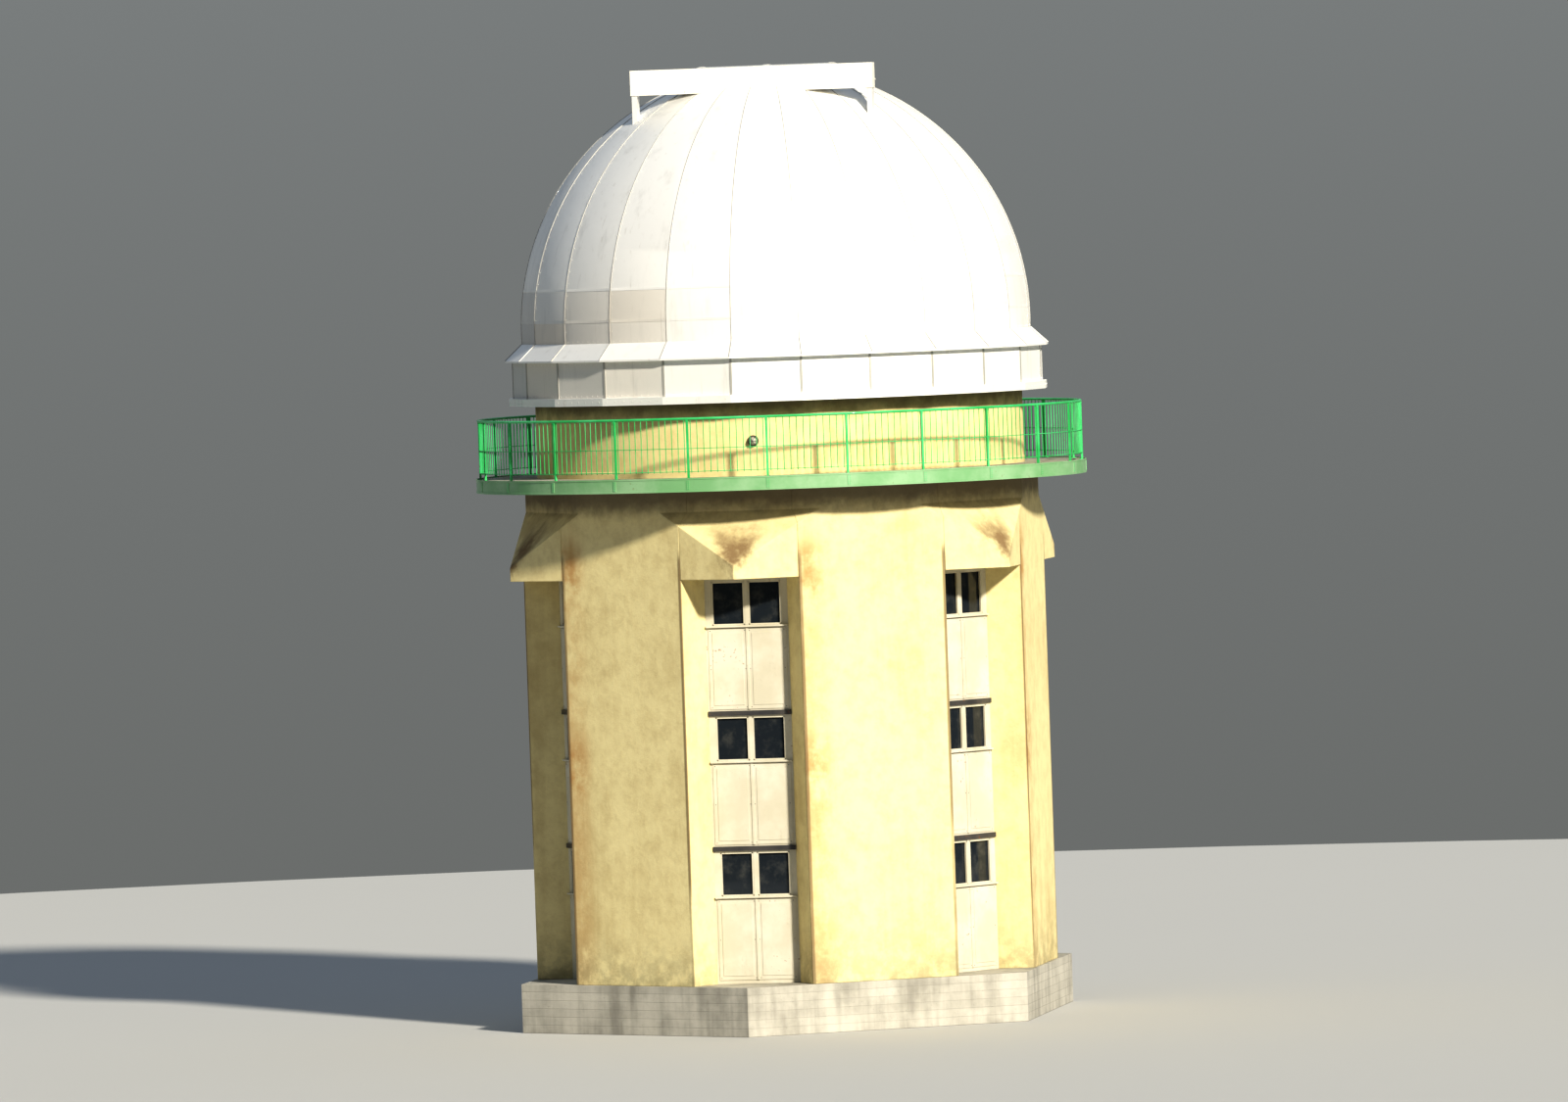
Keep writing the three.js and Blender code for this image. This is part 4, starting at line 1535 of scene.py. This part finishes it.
@dataclass
class Lamp:
    """The bulkhead lamp on the drum: a round back plate, a collar, a glass dome and a wire guard.

    Its outlines are closed, and each corner is a radius and a distance out of the wall.
    """

    wall_radius: float
    height: float = 11.421
    angle: float = math.tau / 96
    sunk: float = 0.011
    sides: int = 24
    plate: tuple[Pair, ...] = ((0.002, 0.0), (0.108, 0.0), (0.108, 0.03), (0.1, 0.045), (0.002, 0.045))
    collar: tuple[Pair, ...] = (
        (0.088, 0.04), (0.094, 0.06), (0.086, 0.088), (0.078, 0.088), (0.078, 0.04),
    )
    glass_radius: float = 0.078
    glass_base: float = 0.062
    glass_steps: int = 8
    glass_foot: Pair = (0.002, 0.06)
    glass_tip: Pair = (0.002, 0.14)
    guard_radius: float = 0.09
    guard_height: float = 0.082
    guard_base: float = 0.07
    guard_steps: int = 12
    guard_wires: int = 3
    wire: float = 0.0035

    def build(self) -> None:
        """Builds the lamp as one piece of two finishes."""
        draft = Draft()
        self._disc(draft, self.plate, 0)
        self._disc(draft, self.collar, 0)
        quarter = [math.pi / 2 * i / self.glass_steps for i in range(self.glass_steps)]
        glass, base = self.glass_radius, self.glass_base
        curve = [(glass * math.cos(a), base + glass * math.sin(a)) for a in quarter]
        self._disc(draft, [self.glass_foot, *curve, self.glass_tip], 1)
        self._guard(draft)
        lamp = draft.make("drum_lamp_bulkhead", [Finishes.steel, Finishes.lamp_glass])
        settled(lamp, Body.TOWER, ["drum_lamp"])

    def _point(self, radius: float, angle: float, out: float) -> Vector:
        """Finds a point of the lamp.

        Args:
            radius: Its distance from the lamp's own axis.
            angle: Its angle round that axis.
            out: Its distance out of the wall.

        Returns:
            The point.
        """
        place = Matrix.Translation((0, -self.wall_radius + self.sunk, self.height))
        point = Vector((radius * math.cos(angle), -out, radius * math.sin(angle)))
        return Matrix.Rotation(self.angle, 4, "Z") @ place @ point

    def _disc(self, draft: Draft, outline: Sequence[Pair], paint: int) -> None:
        """Adds a shape turned about the lamp's own axis.

        Args:
            draft: The mesh that it goes in.
            outline: The shape's outline.
            paint: The number of its finish.
        """
        angles = [math.tau * i / self.sides for i in range(self.sides)]
        rings = [[self._point(radius, angle, out) for radius, out in outline] for angle in angles]
        draft.loops(rings, True, True, paint)

    def _guard(self, draft: Draft) -> None:
        """Adds the bent wires over the glass.

        Args:
            draft: The mesh that they go in.
        """
        reach, rise, base = self.guard_radius, self.guard_height, self.guard_base
        half = [math.pi * j / self.guard_steps for j in range(self.guard_steps + 1)]
        arc = [(reach * math.cos(a), base + rise * math.sin(a)) for a in half]
        for i in range(self.guard_wires):
            wire = [self._point(radius, math.pi * i / self.guard_wires, out) for radius, out in arc]
            for start, end in zip(wire, wire[1:]):
                draft.bar(start, end, self.wire, sides=6)


@dataclass
class DomeShell:
    """The gored shell of the dome, with its standing seams, laps and rivets."""

    radius: float = 5.0
    thickness: float = 0.08
    centre: float = 13.62
    foot: float = 13.375
    steps: int = 48
    slit_edge: float = 1.2303
    slit_rear: float = -1.57
    laps: Pair = (0.403, 1.017)
    lap_width: float = 0.05
    lap_shares: Pair = (0.01, 0.99)
    lap_faces: Pair = (-0.002, 0.005)
    seam_width: float = 0.012
    seam_height: float = 0.008
    seam_sunk: float = 0.004
    seam_taper: float = 0.7
    seam_end: float = math.radians(86)
    rivet_radius: float = 0.009
    rivet_height: float = 0.007
    rivet_out: float = 0.002
    rivet_clear: float = 0.02
    rivet_foot: float = 0.04
    rivet_first: float = 0.06
    rivet_step: float = 0.11
    rivets_across: int = 9
    rivet_pitch: float = math.radians(2.7)
    rivet_inset: float = 0.045
    rivet_most: float = 0.3
    rivets_up: int = 29

    def build(self) -> None:
        """Builds the gores, their seams, laps and rivets."""
        self._gores()
        self._seams()
        self._laps()
        self._rivets()

    def _start(self) -> float:
        """Returns the angle of the dome's foot above its centre."""
        return math.asin((self.foot - self.centre) / self.radius)

    def _inside(self, point: Vector) -> bool:
        """Returns whether a point lies in the slit."""
        return abs(point.x) < self.slit_edge and point.y > self.slit_rear

    def _cut_slit(self, work: bmesh.types.BMesh) -> None:
        """Cuts the slit out of the shell and turns every face outwards.

        Args:
            work: The shell.
        """
        planes = (
            ((self.slit_edge, 0, 0), (1, 0, 0)),
            ((-self.slit_edge, 0, 0), (1, 0, 0)),
            ((0, self.slit_rear, 0), (0, 1, 0)),
        )
        for place, normal in planes:
            whole = work.verts[:] + work.edges[:] + work.faces[:]
            bmesh.ops.bisect_plane(work, geom=whole, plane_co=place, plane_no=normal, dist=1e-5)
        gone = [face for face in work.faces if self._inside(face.calc_center_median())]
        bmesh.ops.delete(work, geom=gone, context="FACES")
        middle = Vector((0, 0, self.centre))
        for face in work.faces:
            if (face.calc_center_median() - middle).dot(face.normal) < 0:
                face.normal_flip()

    def _gores(self) -> None:
        """Builds the shell: one gore, flat across and curved upwards, set round the dome."""
        recipe = Recipe("dome_gore")
        radius = recipe.number("Dome radius", self.radius)
        start = recipe.number("Foot angle", self._start())
        centre = recipe.number("Centre height", self.centre)
        steps = recipe.number("Steps", self.steps)
        size = {"Size X": 1.0, "Size Y": 1.0, "Vertices X": 2, "Vertices Y": steps + 1.0}
        grid = recipe.node("GeometryNodeMeshGrid", inputs=size).outputs[0]
        across, along, _ = recipe.split(recipe.node("GeometryNodeInputPosition").outputs[0])
        angle = start + (along + 0.5) * (math.pi / 2 - start)
        level = radius * recipe.math("COSINE", angle)
        place = recipe.vector(
            level * across * (2 * math.sin(GORE_STEP / 2)),
            level * -math.cos(GORE_STEP / 2),
            centre + radius * recipe.math("SINE", angle),
        )
        gore = recipe.node("GeometryNodeSetPosition", inputs={0: grid, "Position": place}).outputs[0]
        row = recipe.node("GeometryNodePoints", inputs={"Count": GORES}).outputs[0]
        shell = recipe.turned_copies(row, gore, (recipe.index() + 0.5) * GORE_STEP)
        piece = recipe.cook("dome_gores", shell, Finishes.gores, trim=self._cut_slit)
        wall = piece.modifiers.new("sheet_and_frame", "SOLIDIFY")
        wall.thickness = self.thickness
        wall.offset = -1.0
        settled(piece, Body.DOME, ["dome_shell_right", "dome_shell_left"])

    def _seams(self) -> None:
        """Builds the standing seams that run up between the gores."""
        draft = Draft()
        start, half = self._start(), self.seam_width / 2
        low, high = self.radius - self.seam_sunk, self.radius + self.seam_height
        narrow = half * self.seam_taper
        section = ((-half, low), (half, low), (narrow, high), (-narrow, high))
        for gore in range(GORES):
            turn = Matrix.Rotation(gore * GORE_STEP, 4, "Z")
            rings = []
            for i in range(self.steps + 1):
                rise = start + (self.seam_end - start) * i / self.steps
                up, out = math.sin(rise), math.cos(rise)
                rings.append([turn @ Vector((x, -r * out, self.centre + r * up)) for x, r in section])
            for run in self._clear_runs(rings):
                draft.loops(run, False)
        settled(draft.make("dome_standing_seams", [Finishes.seams]), Body.DOME)

    def _clear_runs(self, rings: list[list[Vector]]) -> list[list[list[Vector]]]:
        """Splits a seam where it crosses the slit.

        Args:
            rings: The seam's rings, in order, each with its two lower corners first.

        Returns:
            The runs of neighbouring rings that lie clear of the slit.
        """
        runs: list[list[list[Vector]]] = [[]]
        for ring in rings:
            if not self._inside(ring[0]) and not self._inside(ring[1]):
                runs[-1].append(ring)
            elif runs[-1]:
                runs.append([])
        return [run for run in runs if len(run) > 1]

    def _facet(self, gore: int, share: float, rise: float, out: float) -> Vector:
        """Finds a point on a gore.

        Args:
            gore: The gore's number.
            share: How far across it the point is, from 0 to 1.
            rise: The point's angle above the dome's centre.
            out: How far it stands out of the sheet.

        Returns:
            The point.
        """
        radius = self.radius * math.cos(rise)
        first = Vector(around(radius, gore * GORE_STEP, 0))
        second = Vector(around(radius, (gore + 1) * GORE_STEP, 0))
        point = first.lerp(second, share)
        point.z = self.centre + self.radius * math.sin(rise)
        return point + self._outwards(gore, rise) * out

    @staticmethod
    def _outwards(gore: int, rise: float) -> Vector:
        """Returns the direction that a gore faces at an angle above the centre."""
        return Vector(around(math.cos(rise), (gore + 0.5) * GORE_STEP, math.sin(rise))).normalized()

    def _laps(self) -> None:
        """Builds the thin laps where one sheet of a gore covers the next."""
        draft = Draft()
        for gore in range(GORES):
            for above in self.laps:
                low = math.asin((self.foot + above - self.centre) / self.radius)
                high = low + self.lap_width / self.radius
                corners = [
                    self._facet(gore, share, rise, out)
                    for rise in (low, high) for share in self.lap_shares for out in self.lap_faces
                ]
                if not any(self._inside(corner) for corner in corners):
                    draft.add(corners, BOX_SIDES)
        settled(draft.make("dome_sheet_laps", [Finishes.gores]), Body.DOME)

    def _rivets(self) -> None:
        """Sets rivets along the foot, the laps and both edges of every gore."""
        studs = Studs("dome_rivets", self.rivet_radius, self.rivet_height)
        for gore in range(GORES):
            for above in (self.rivet_foot, *(lap + self.lap_width / 2 for lap in self.laps)):
                rise = math.asin((self.foot + above - self.centre) / self.radius)
                for i in range(self.rivets_across):
                    self._rivet(studs, gore, self.rivet_first + self.rivet_step * i, rise)
            for i in range(1, self.rivets_up + 1):
                rise = self._start() + self.rivet_pitch * i
                inset = self.rivet_inset / (2 * self.radius * math.cos(rise) * math.sin(GORE_STEP / 2))
                if inset < self.rivet_most:
                    self._rivet(studs, gore, inset, rise)
                    self._rivet(studs, gore, 1 - inset, rise)
        settled(studs.make(Finishes.gores), Body.DOME)

    def _rivet(self, studs: Studs, gore: int, share: float, rise: float) -> None:
        """Sets one rivet on a gore, unless it would lie in the slit.

        Args:
            studs: The rivets.
            gore: The gore's number.
            share: How far across it the rivet is, from 0 to 1.
            rise: The rivet's angle above the dome's centre.
        """
        place, clear = self._facet(gore, share, rise, self.rivet_out), self.rivet_clear
        if abs(place.x) > self.slit_edge + clear or place.y < self.slit_rear - clear:
            studs.put(place, self._outwards(gore, rise))


@dataclass
class DomeSkirt:
    """The flared eave and the panelled skirt that hangs over the drum."""

    nodes: dict[str, bpy.types.Object]
    foot: float = 12.175
    lip_top: float = 12.325
    lip_radius: float = 5.29
    radius: float = 5.2
    flare_radius: float = 5.34
    flare_foot: float = 13.026
    flare_edge: float = 0.034
    root_radius: float = 5.0053
    root: float = 13.375
    strip_width: float = 0.045
    strip_depth: float = 0.02
    strip_sunk: float = 0.002
    fold_half: float = 0.009
    fold_height: float = 0.012
    fold_sunk: float = 0.004
    fold_taper: float = 0.7
    bolt_radius: float = 0.011
    bolt_height: float = 0.01
    lip_bolts: int = 7
    lip_bolt_rise: float = 0.075
    panel_bolts: int = 9
    panel_bolt_drop: float = 0.05
    panel_bolt_rise: float = 0.04

    def build(self) -> None:
        """Dresses the skirt and the ring inside it, and adds seams and bolts."""
        repaint(self.nodes["dome_skirt"], Finishes.skirt)
        repaint(self.nodes["dome_base_ring"], Finishes.steel)
        self._strips()
        self._folds()
        self._bolts()

    def _strips(self) -> None:
        """Builds the cover strips at the skirt's corners."""
        height = self.flare_foot - self.lip_top
        strips = Circle(
            "skirt_cover_strips", Part.BLOCK, (self.strip_width, self.strip_depth, height), GORES,
            self.radius - self.strip_sunk, self.lip_top + height / 2,
        )
        settled(strips.make(Finishes.seams), Body.DOME)

    def _folds(self) -> None:
        """Builds the folds down the flare, from the dome's foot to its edge."""
        draft = Draft()
        top = Vector((0, -self.root_radius, self.root))
        low = Vector((0, -self.flare_radius, self.flare_foot + self.flare_edge))
        across = Vector((1, 0, 0))
        lift = (low - top).cross(across).normalized()
        half, sunk, high = self.fold_half, -self.fold_sunk, self.fold_height
        narrow = half * self.fold_taper
        section = ((-half, sunk), (half, sunk), (narrow, high), (-narrow, high))
        for gore in range(GORES):
            turn = Matrix.Rotation(gore * GORE_STEP, 4, "Z")
            draft.loops([
                [turn @ (base + across * x + lift * up) for x, up in section] for base in (top, low)
            ], False, False)
        settled(draft.make("flare_folds", [Finishes.seams]), Body.DOME)

    def _bolts(self) -> None:
        """Sets bolts along the lip, and along the top and the foot of every skirt panel."""
        studs = Studs("skirt_bolts", self.bolt_radius, self.bolt_height)
        rows = (
            (self.lip_radius, self.foot + self.lip_bolt_rise, self.lip_bolts),
            (self.radius, self.flare_foot - self.panel_bolt_drop, self.panel_bolts),
            (self.radius, self.lip_top + self.panel_bolt_rise, self.panel_bolts),
        )
        for gore in range(GORES):
            outwards = around(1.0, (gore + 0.5) * GORE_STEP, 0.0)
            for radius, height, count in rows:
                first = Vector(around(radius, gore * GORE_STEP, height))
                second = Vector(around(radius, (gore + 1) * GORE_STEP, height))
                for i in range(count):
                    studs.put(first.lerp(second, (i + 0.5) / count), outwards)
        settled(studs.make(Finishes.trim), Body.DOME)


@dataclass
class Slit:
    """The slit's arches and beams, and the two shutters that part along them."""

    nodes: dict[str, bpy.types.Object]
    centre: float = 13.62
    dome_foot: float = 13.375
    rear: float = -1.57
    arch_near: float = 1.1
    arch_far: float = 1.23
    arch_inner: float = 4.65
    arch_outer: float = 4.9
    arch_bolts: int = 45
    arch_bolt_foot: float = 0.1
    arch_bolt_rear: float = 0.08
    arch_bolt_edge: float = 0.05
    bolt_radius: float = 0.011
    bolt_height: float = 0.01
    shutter_foot: float = 13.7905
    shutter_outer: float = 5.07
    shutter_skin: float = 5.01
    shutter_near: float = 0.005
    shutter_far: float = 1.3
    rim_width: float = 0.03
    rim_height: float = 0.012
    cheek: float = 0.05
    cheek_foot: float = 4.87
    lip: float = 0.04
    lip_foot: float = 4.965
    skin_rear: float = -1.541
    ledge_rear: float = -1.46
    bite: float = 0.002
    runner_play: float = 0.2
    runner_y: Pair = (-1.55, -1.48)
    runner_z: Pair = (18.3305, 18.42)
    sheets: int = 9
    lap_play: float = 0.07
    lap_width: float = 0.05
    lap_depth: float = 0.006
    lap_rivets: int = 12
    rivet_inset: float = 0.07
    rivet_radius: float = 0.009
    rivet_height: float = 0.006
    beam_foot: float = 18.145
    beam_inner: float = 5.005
    beam_eased: float = 0.008
    steps: int = 72

    def build(self) -> None:
        """Builds the arches, the beams and the shutters."""
        self._arch(1, "slit_arch_right")
        self._arch(-1, "slit_arch_left")
        for name in ("rear_shutter_beam", "foot_shutter_beam"):
            copy = dressed_copy(self.nodes[name], f"{name}_painted", Finishes.beam, self.beam_eased)
            copy.data.materials.append(Finishes.gores.material())
            for face in copy.data.polygons:
                face.material_index = int(not self._on_beam(face.center))
            settled(copy, Body.DOME, [name])
        self._shutter(1, Body.RIGHT)
        self._shutter(-1, Body.LEFT)

    def _on_beam(self, point: Vector) -> bool:
        """Returns whether a point is on a beam itself, and not on the brackets under or behind it."""
        return point.z > self.beam_foot if point.y < 0 else point.y > self.beam_inner

    def _over(self, draft: Draft, radii: Pair, across: Pair, low: float, rear: float, side: int) -> None:
        """Carries a rectangular section over the dome, in planes along Y.

        Args:
            draft: The mesh that it goes in.
            radii: The section's lower and upper radius.
            across: Its two distances from the slit's middle.
            low: The height that it starts from, at the slit's foot.
            rear: The y that it ends at, past the dome's top.
            side: 1 for the right-hand side and -1 for the left.
        """
        (inner, outer), (near, far) = radii, across
        section = ((inner, near), (inner, far), (outer, far), (outer, near))
        rings = []
        for i in range(self.steps + 1):
            ring = []
            for radius, x in section:
                first, last = math.asin((low - self.centre) / radius), math.acos(rear / radius)
                angle = first + (last - first) * i / self.steps
                ring.append((side * x, radius * math.cos(angle), self.centre + radius * math.sin(angle)))
            rings.append(ring)
        draft.loops(rings, False)

    def _arch(self, side: int, name: str) -> None:
        """Builds one of the box girders beside the slit, with its bolts.

        Args:
            side: 1 for the right-hand side and -1 for the left.
            name: The CAD node that it stands for.
        """
        draft = Draft()
        inner, outer = self.arch_inner, self.arch_outer
        self._over(draft, (inner, outer), (self.arch_near, self.arch_far), self.dome_foot, self.rear, side)
        settled(draft.make(f"{name}_girder", [Finishes.trim]), Body.DOME, [name])
        studs = Studs(f"{name}_bolts", self.bolt_radius, self.bolt_height)
        first = math.asin((self.dome_foot + self.arch_bolt_foot - self.centre) / inner)
        last = math.acos((self.rear + self.arch_bolt_rear) / outer)
        for i in range(self.arch_bolts):
            angle = first + (last - first) * i / (self.arch_bolts - 1)
            for radius in (inner + self.arch_bolt_edge, outer - self.arch_bolt_edge):
                y, z = radius * math.cos(angle), self.centre + radius * math.sin(angle)
                studs.put((side * self.arch_near, y, z), (-side, 0, 0))
        settled(studs.make(Finishes.steel), Body.DOME)

    def _shutter(self, side: int, body: Body) -> None:
        """Builds one shutter: skin, outer cheek, middle lip, runner, rims, sheet laps and rivets.

        Args:
            side: 1 for the right-hand side and -1 for the left.
            body: The shutter's body.
        """
        draft = Draft()
        near, far, skin, outer = self.shutter_near, self.shutter_far, self.shutter_skin, self.shutter_outer
        foot, sheet, root = self.shutter_foot, outer - self.rim_height, skin + self.bite
        self._over(draft, (skin, sheet), (near, far), foot, self.skin_rear, side)
        self._over(draft, (self.cheek_foot, root), (far - self.cheek, far), foot, self.ledge_rear, side)
        self._over(draft, (self.lip_foot, root), (near, near + self.lip), foot, self.ledge_rear, side)
        (y0, y1), (z0, z1) = self.runner_y, self.runner_z
        middle = Vector((side * (near + far) / 2, (y0 + y1) / 2, (z0 + z1) / 2))
        draft.block((far - near - self.runner_play, y1 - y0, z1 - z0), Matrix.Translation(middle))
        for edge in (near, far - self.rim_width):
            rim = (edge, edge + self.rim_width)
            self._over(draft, (sheet - self.bite, outer), rim, foot, self.skin_rear, side)
        studs = Studs(f"{body.value}_rivets", self.rivet_radius, self.rivet_height)
        lap = (far - near - self.lap_play, self.lap_width, self.lap_depth)
        run = far - near - 2 * self.rivet_inset
        first, last = math.asin((foot - self.centre) / outer), math.acos(self.skin_rear / outer)
        for i in range(1, self.sheets):
            angle = first + (last - first) * i / self.sheets
            turn = Matrix.Rotation(angle - math.pi / 2, 4, "X")
            place = Matrix.Translation((side * (near + far) / 2, 0, self.centre)) @ turn
            draft.block(lap, place @ Matrix.Translation((0, 0, sheet + self.bite)))
            way = Vector((0, math.cos(angle), math.sin(angle)))
            for j in range(self.lap_rivets):
                across = near + self.rivet_inset + run * j / (self.lap_rivets - 1)
                studs.put(Vector((side * across, 0, self.centre)) + way * (sheet + self.lap_depth), way)
        settled(draft.make(f"{body.value}_sheeted", [Finishes.trim]), body, [body.value])
        settled(studs.make(Finishes.trim), body)


@dataclass(frozen=True)
class Studio:
    """The pale floor, the low warm sun with its soft surround, and the camera."""

    view_azimuth: float = math.radians(10)
    view_elevation: float = math.radians(1.6)
    roll: float = math.radians(-2.0)
    lens: float = 300.0
    field_height: float = 21.6
    image: tuple[int, int] = (1600, 1125)
    sensor: float = 36.0
    aim: Point = (0.0, 0.0, 9.15)
    sun_azimuth: float = math.radians(40)
    sun_elevation: float = math.radians(27)
    sun_energy: float = 4.2
    sun_colour: Colour = (1.0, 0.93, 0.80)
    sun_width: float = math.radians(4.0)
    sky: tuple[tuple[float, Colour], ...] = (
        (0.0, (0.30, 0.31, 0.30)), (0.25, (0.56, 0.60, 0.62)), (1.0, (0.60, 0.70, 0.85)),
    )
    sky_strength: float = 0.27
    shade_strength: float = 1.8
    floor_radius: float = 60.0
    floor_drop: float = 0.002
    floor_colours: tuple[Colour, Colour] = ((0.56, 0.56, 0.545), (0.52, 0.52, 0.505))

    def build(self) -> None:
        """Makes the floor, the lights and the camera."""
        self._floor()
        self._sun()
        self._sky()
        self._camera()

    def _floor(self) -> None:
        """Makes the floor, just under the tower."""
        draft = Draft()
        sides = 64
        ring = [around(self.floor_radius, math.tau * i / sides, -self.floor_drop) for i in range(sides)]
        draft.add(ring, [range(sides)])
        floor = draft.make("studio_floor", [])
        shader = Shader("pale_studio_floor")
        cloud = shader.noise(0.05, 2.0, 0.5)
        shader.set(Base_Color=shader.blend(cloud * 0.3, *self.floor_colours), Roughness=0.9)
        floor.data.materials.append(shader.material)

    def _sun(self) -> None:
        """Makes the key light, to the right of the camera."""
        light = bpy.data.lights.new("key_light", "SUN")
        light.energy = self.sun_energy
        light.color = self.sun_colour
        light.angle = self.sun_width
        lamp = bpy.data.objects.new("key_light", light)
        towards = Vector(around(math.cos(self.sun_elevation), self.sun_azimuth, math.sin(self.sun_elevation)))
        lamp.rotation_euler = towards.to_track_quat("Z", "Y").to_euler()
        bpy.context.scene.collection.objects.link(lamp)

    def _sky(self) -> None:
        """Makes the soft surround, darker low down and lighter on the side away from the sun."""
        world = bpy.data.worlds.new("soft_surround")
        world.use_nodes = True
        graph = Graph(world.node_tree)
        graph.tree.nodes.clear()
        x, y, z = graph.split(graph.node("ShaderNodeTexCoord").outputs["Generated"])
        lift = graph.band(z, -0.1, 0.55)
        ramp = graph.node("ShaderNodeValToRGB", {"stops": self.sky}, {0: lift})
        sunward = x * math.sin(self.sun_azimuth) + y * -math.cos(self.sun_azimuth)
        strength = (self.shade_strength - graph.band(sunward, -0.8, 0.4)) * self.sky_strength
        back = graph.node("ShaderNodeBackground", inputs={"Color": ramp.outputs[0], "Strength": strength})
        graph.node("ShaderNodeOutputWorld", inputs={"Surface": back.outputs[0]})
        bpy.context.scene.world = world

    def _camera(self) -> None:
        """Makes the camera at the photograph's angle, near enough to fill the frame."""
        data = bpy.data.cameras.new("photo_view")
        data.lens = self.lens
        data.sensor_width = self.sensor
        sensor_height = self.sensor * self.image[1] / self.image[0]
        distance = self.field_height * self.lens / sensor_height
        data.clip_end = 2 * distance
        camera = bpy.data.objects.new("photo_view", data)
        back = Vector(around(math.cos(self.view_elevation), self.view_azimuth, math.sin(self.view_elevation)))
        camera.location = Vector(self.aim) + back * distance
        turn = (-back).to_track_quat("-Z", "Y").to_matrix() @ Euler((0, 0, self.roll)).to_matrix()
        camera.rotation_euler = turn.to_euler()
        bpy.context.scene.collection.objects.link(camera)
        bpy.context.scene.camera = camera


def main() -> None:
    """Builds the looks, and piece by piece."""
    logging.basicConfig(level=logging.INFO, format="%(name)s: %(message)s")
    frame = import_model()
    nodes = frame["nodes"]
    Studio().build()
    assemblies = (
        Shaft(nodes), Windows(nodes), Entrance(), Balcony(), Drum(nodes), DomeSkirt(nodes), DomeShell(),
        Slit(nodes),
    )
    for assembly in assemblies:
        LOG.info("building %s", type(assembly).__name__)
        assembly.build()
    bpy.context.scene.view_settings.view_transform = "Standard"
    bpy.context.scene.view_settings.look = "High Contrast"


if __name__ == "__main__":
    main()
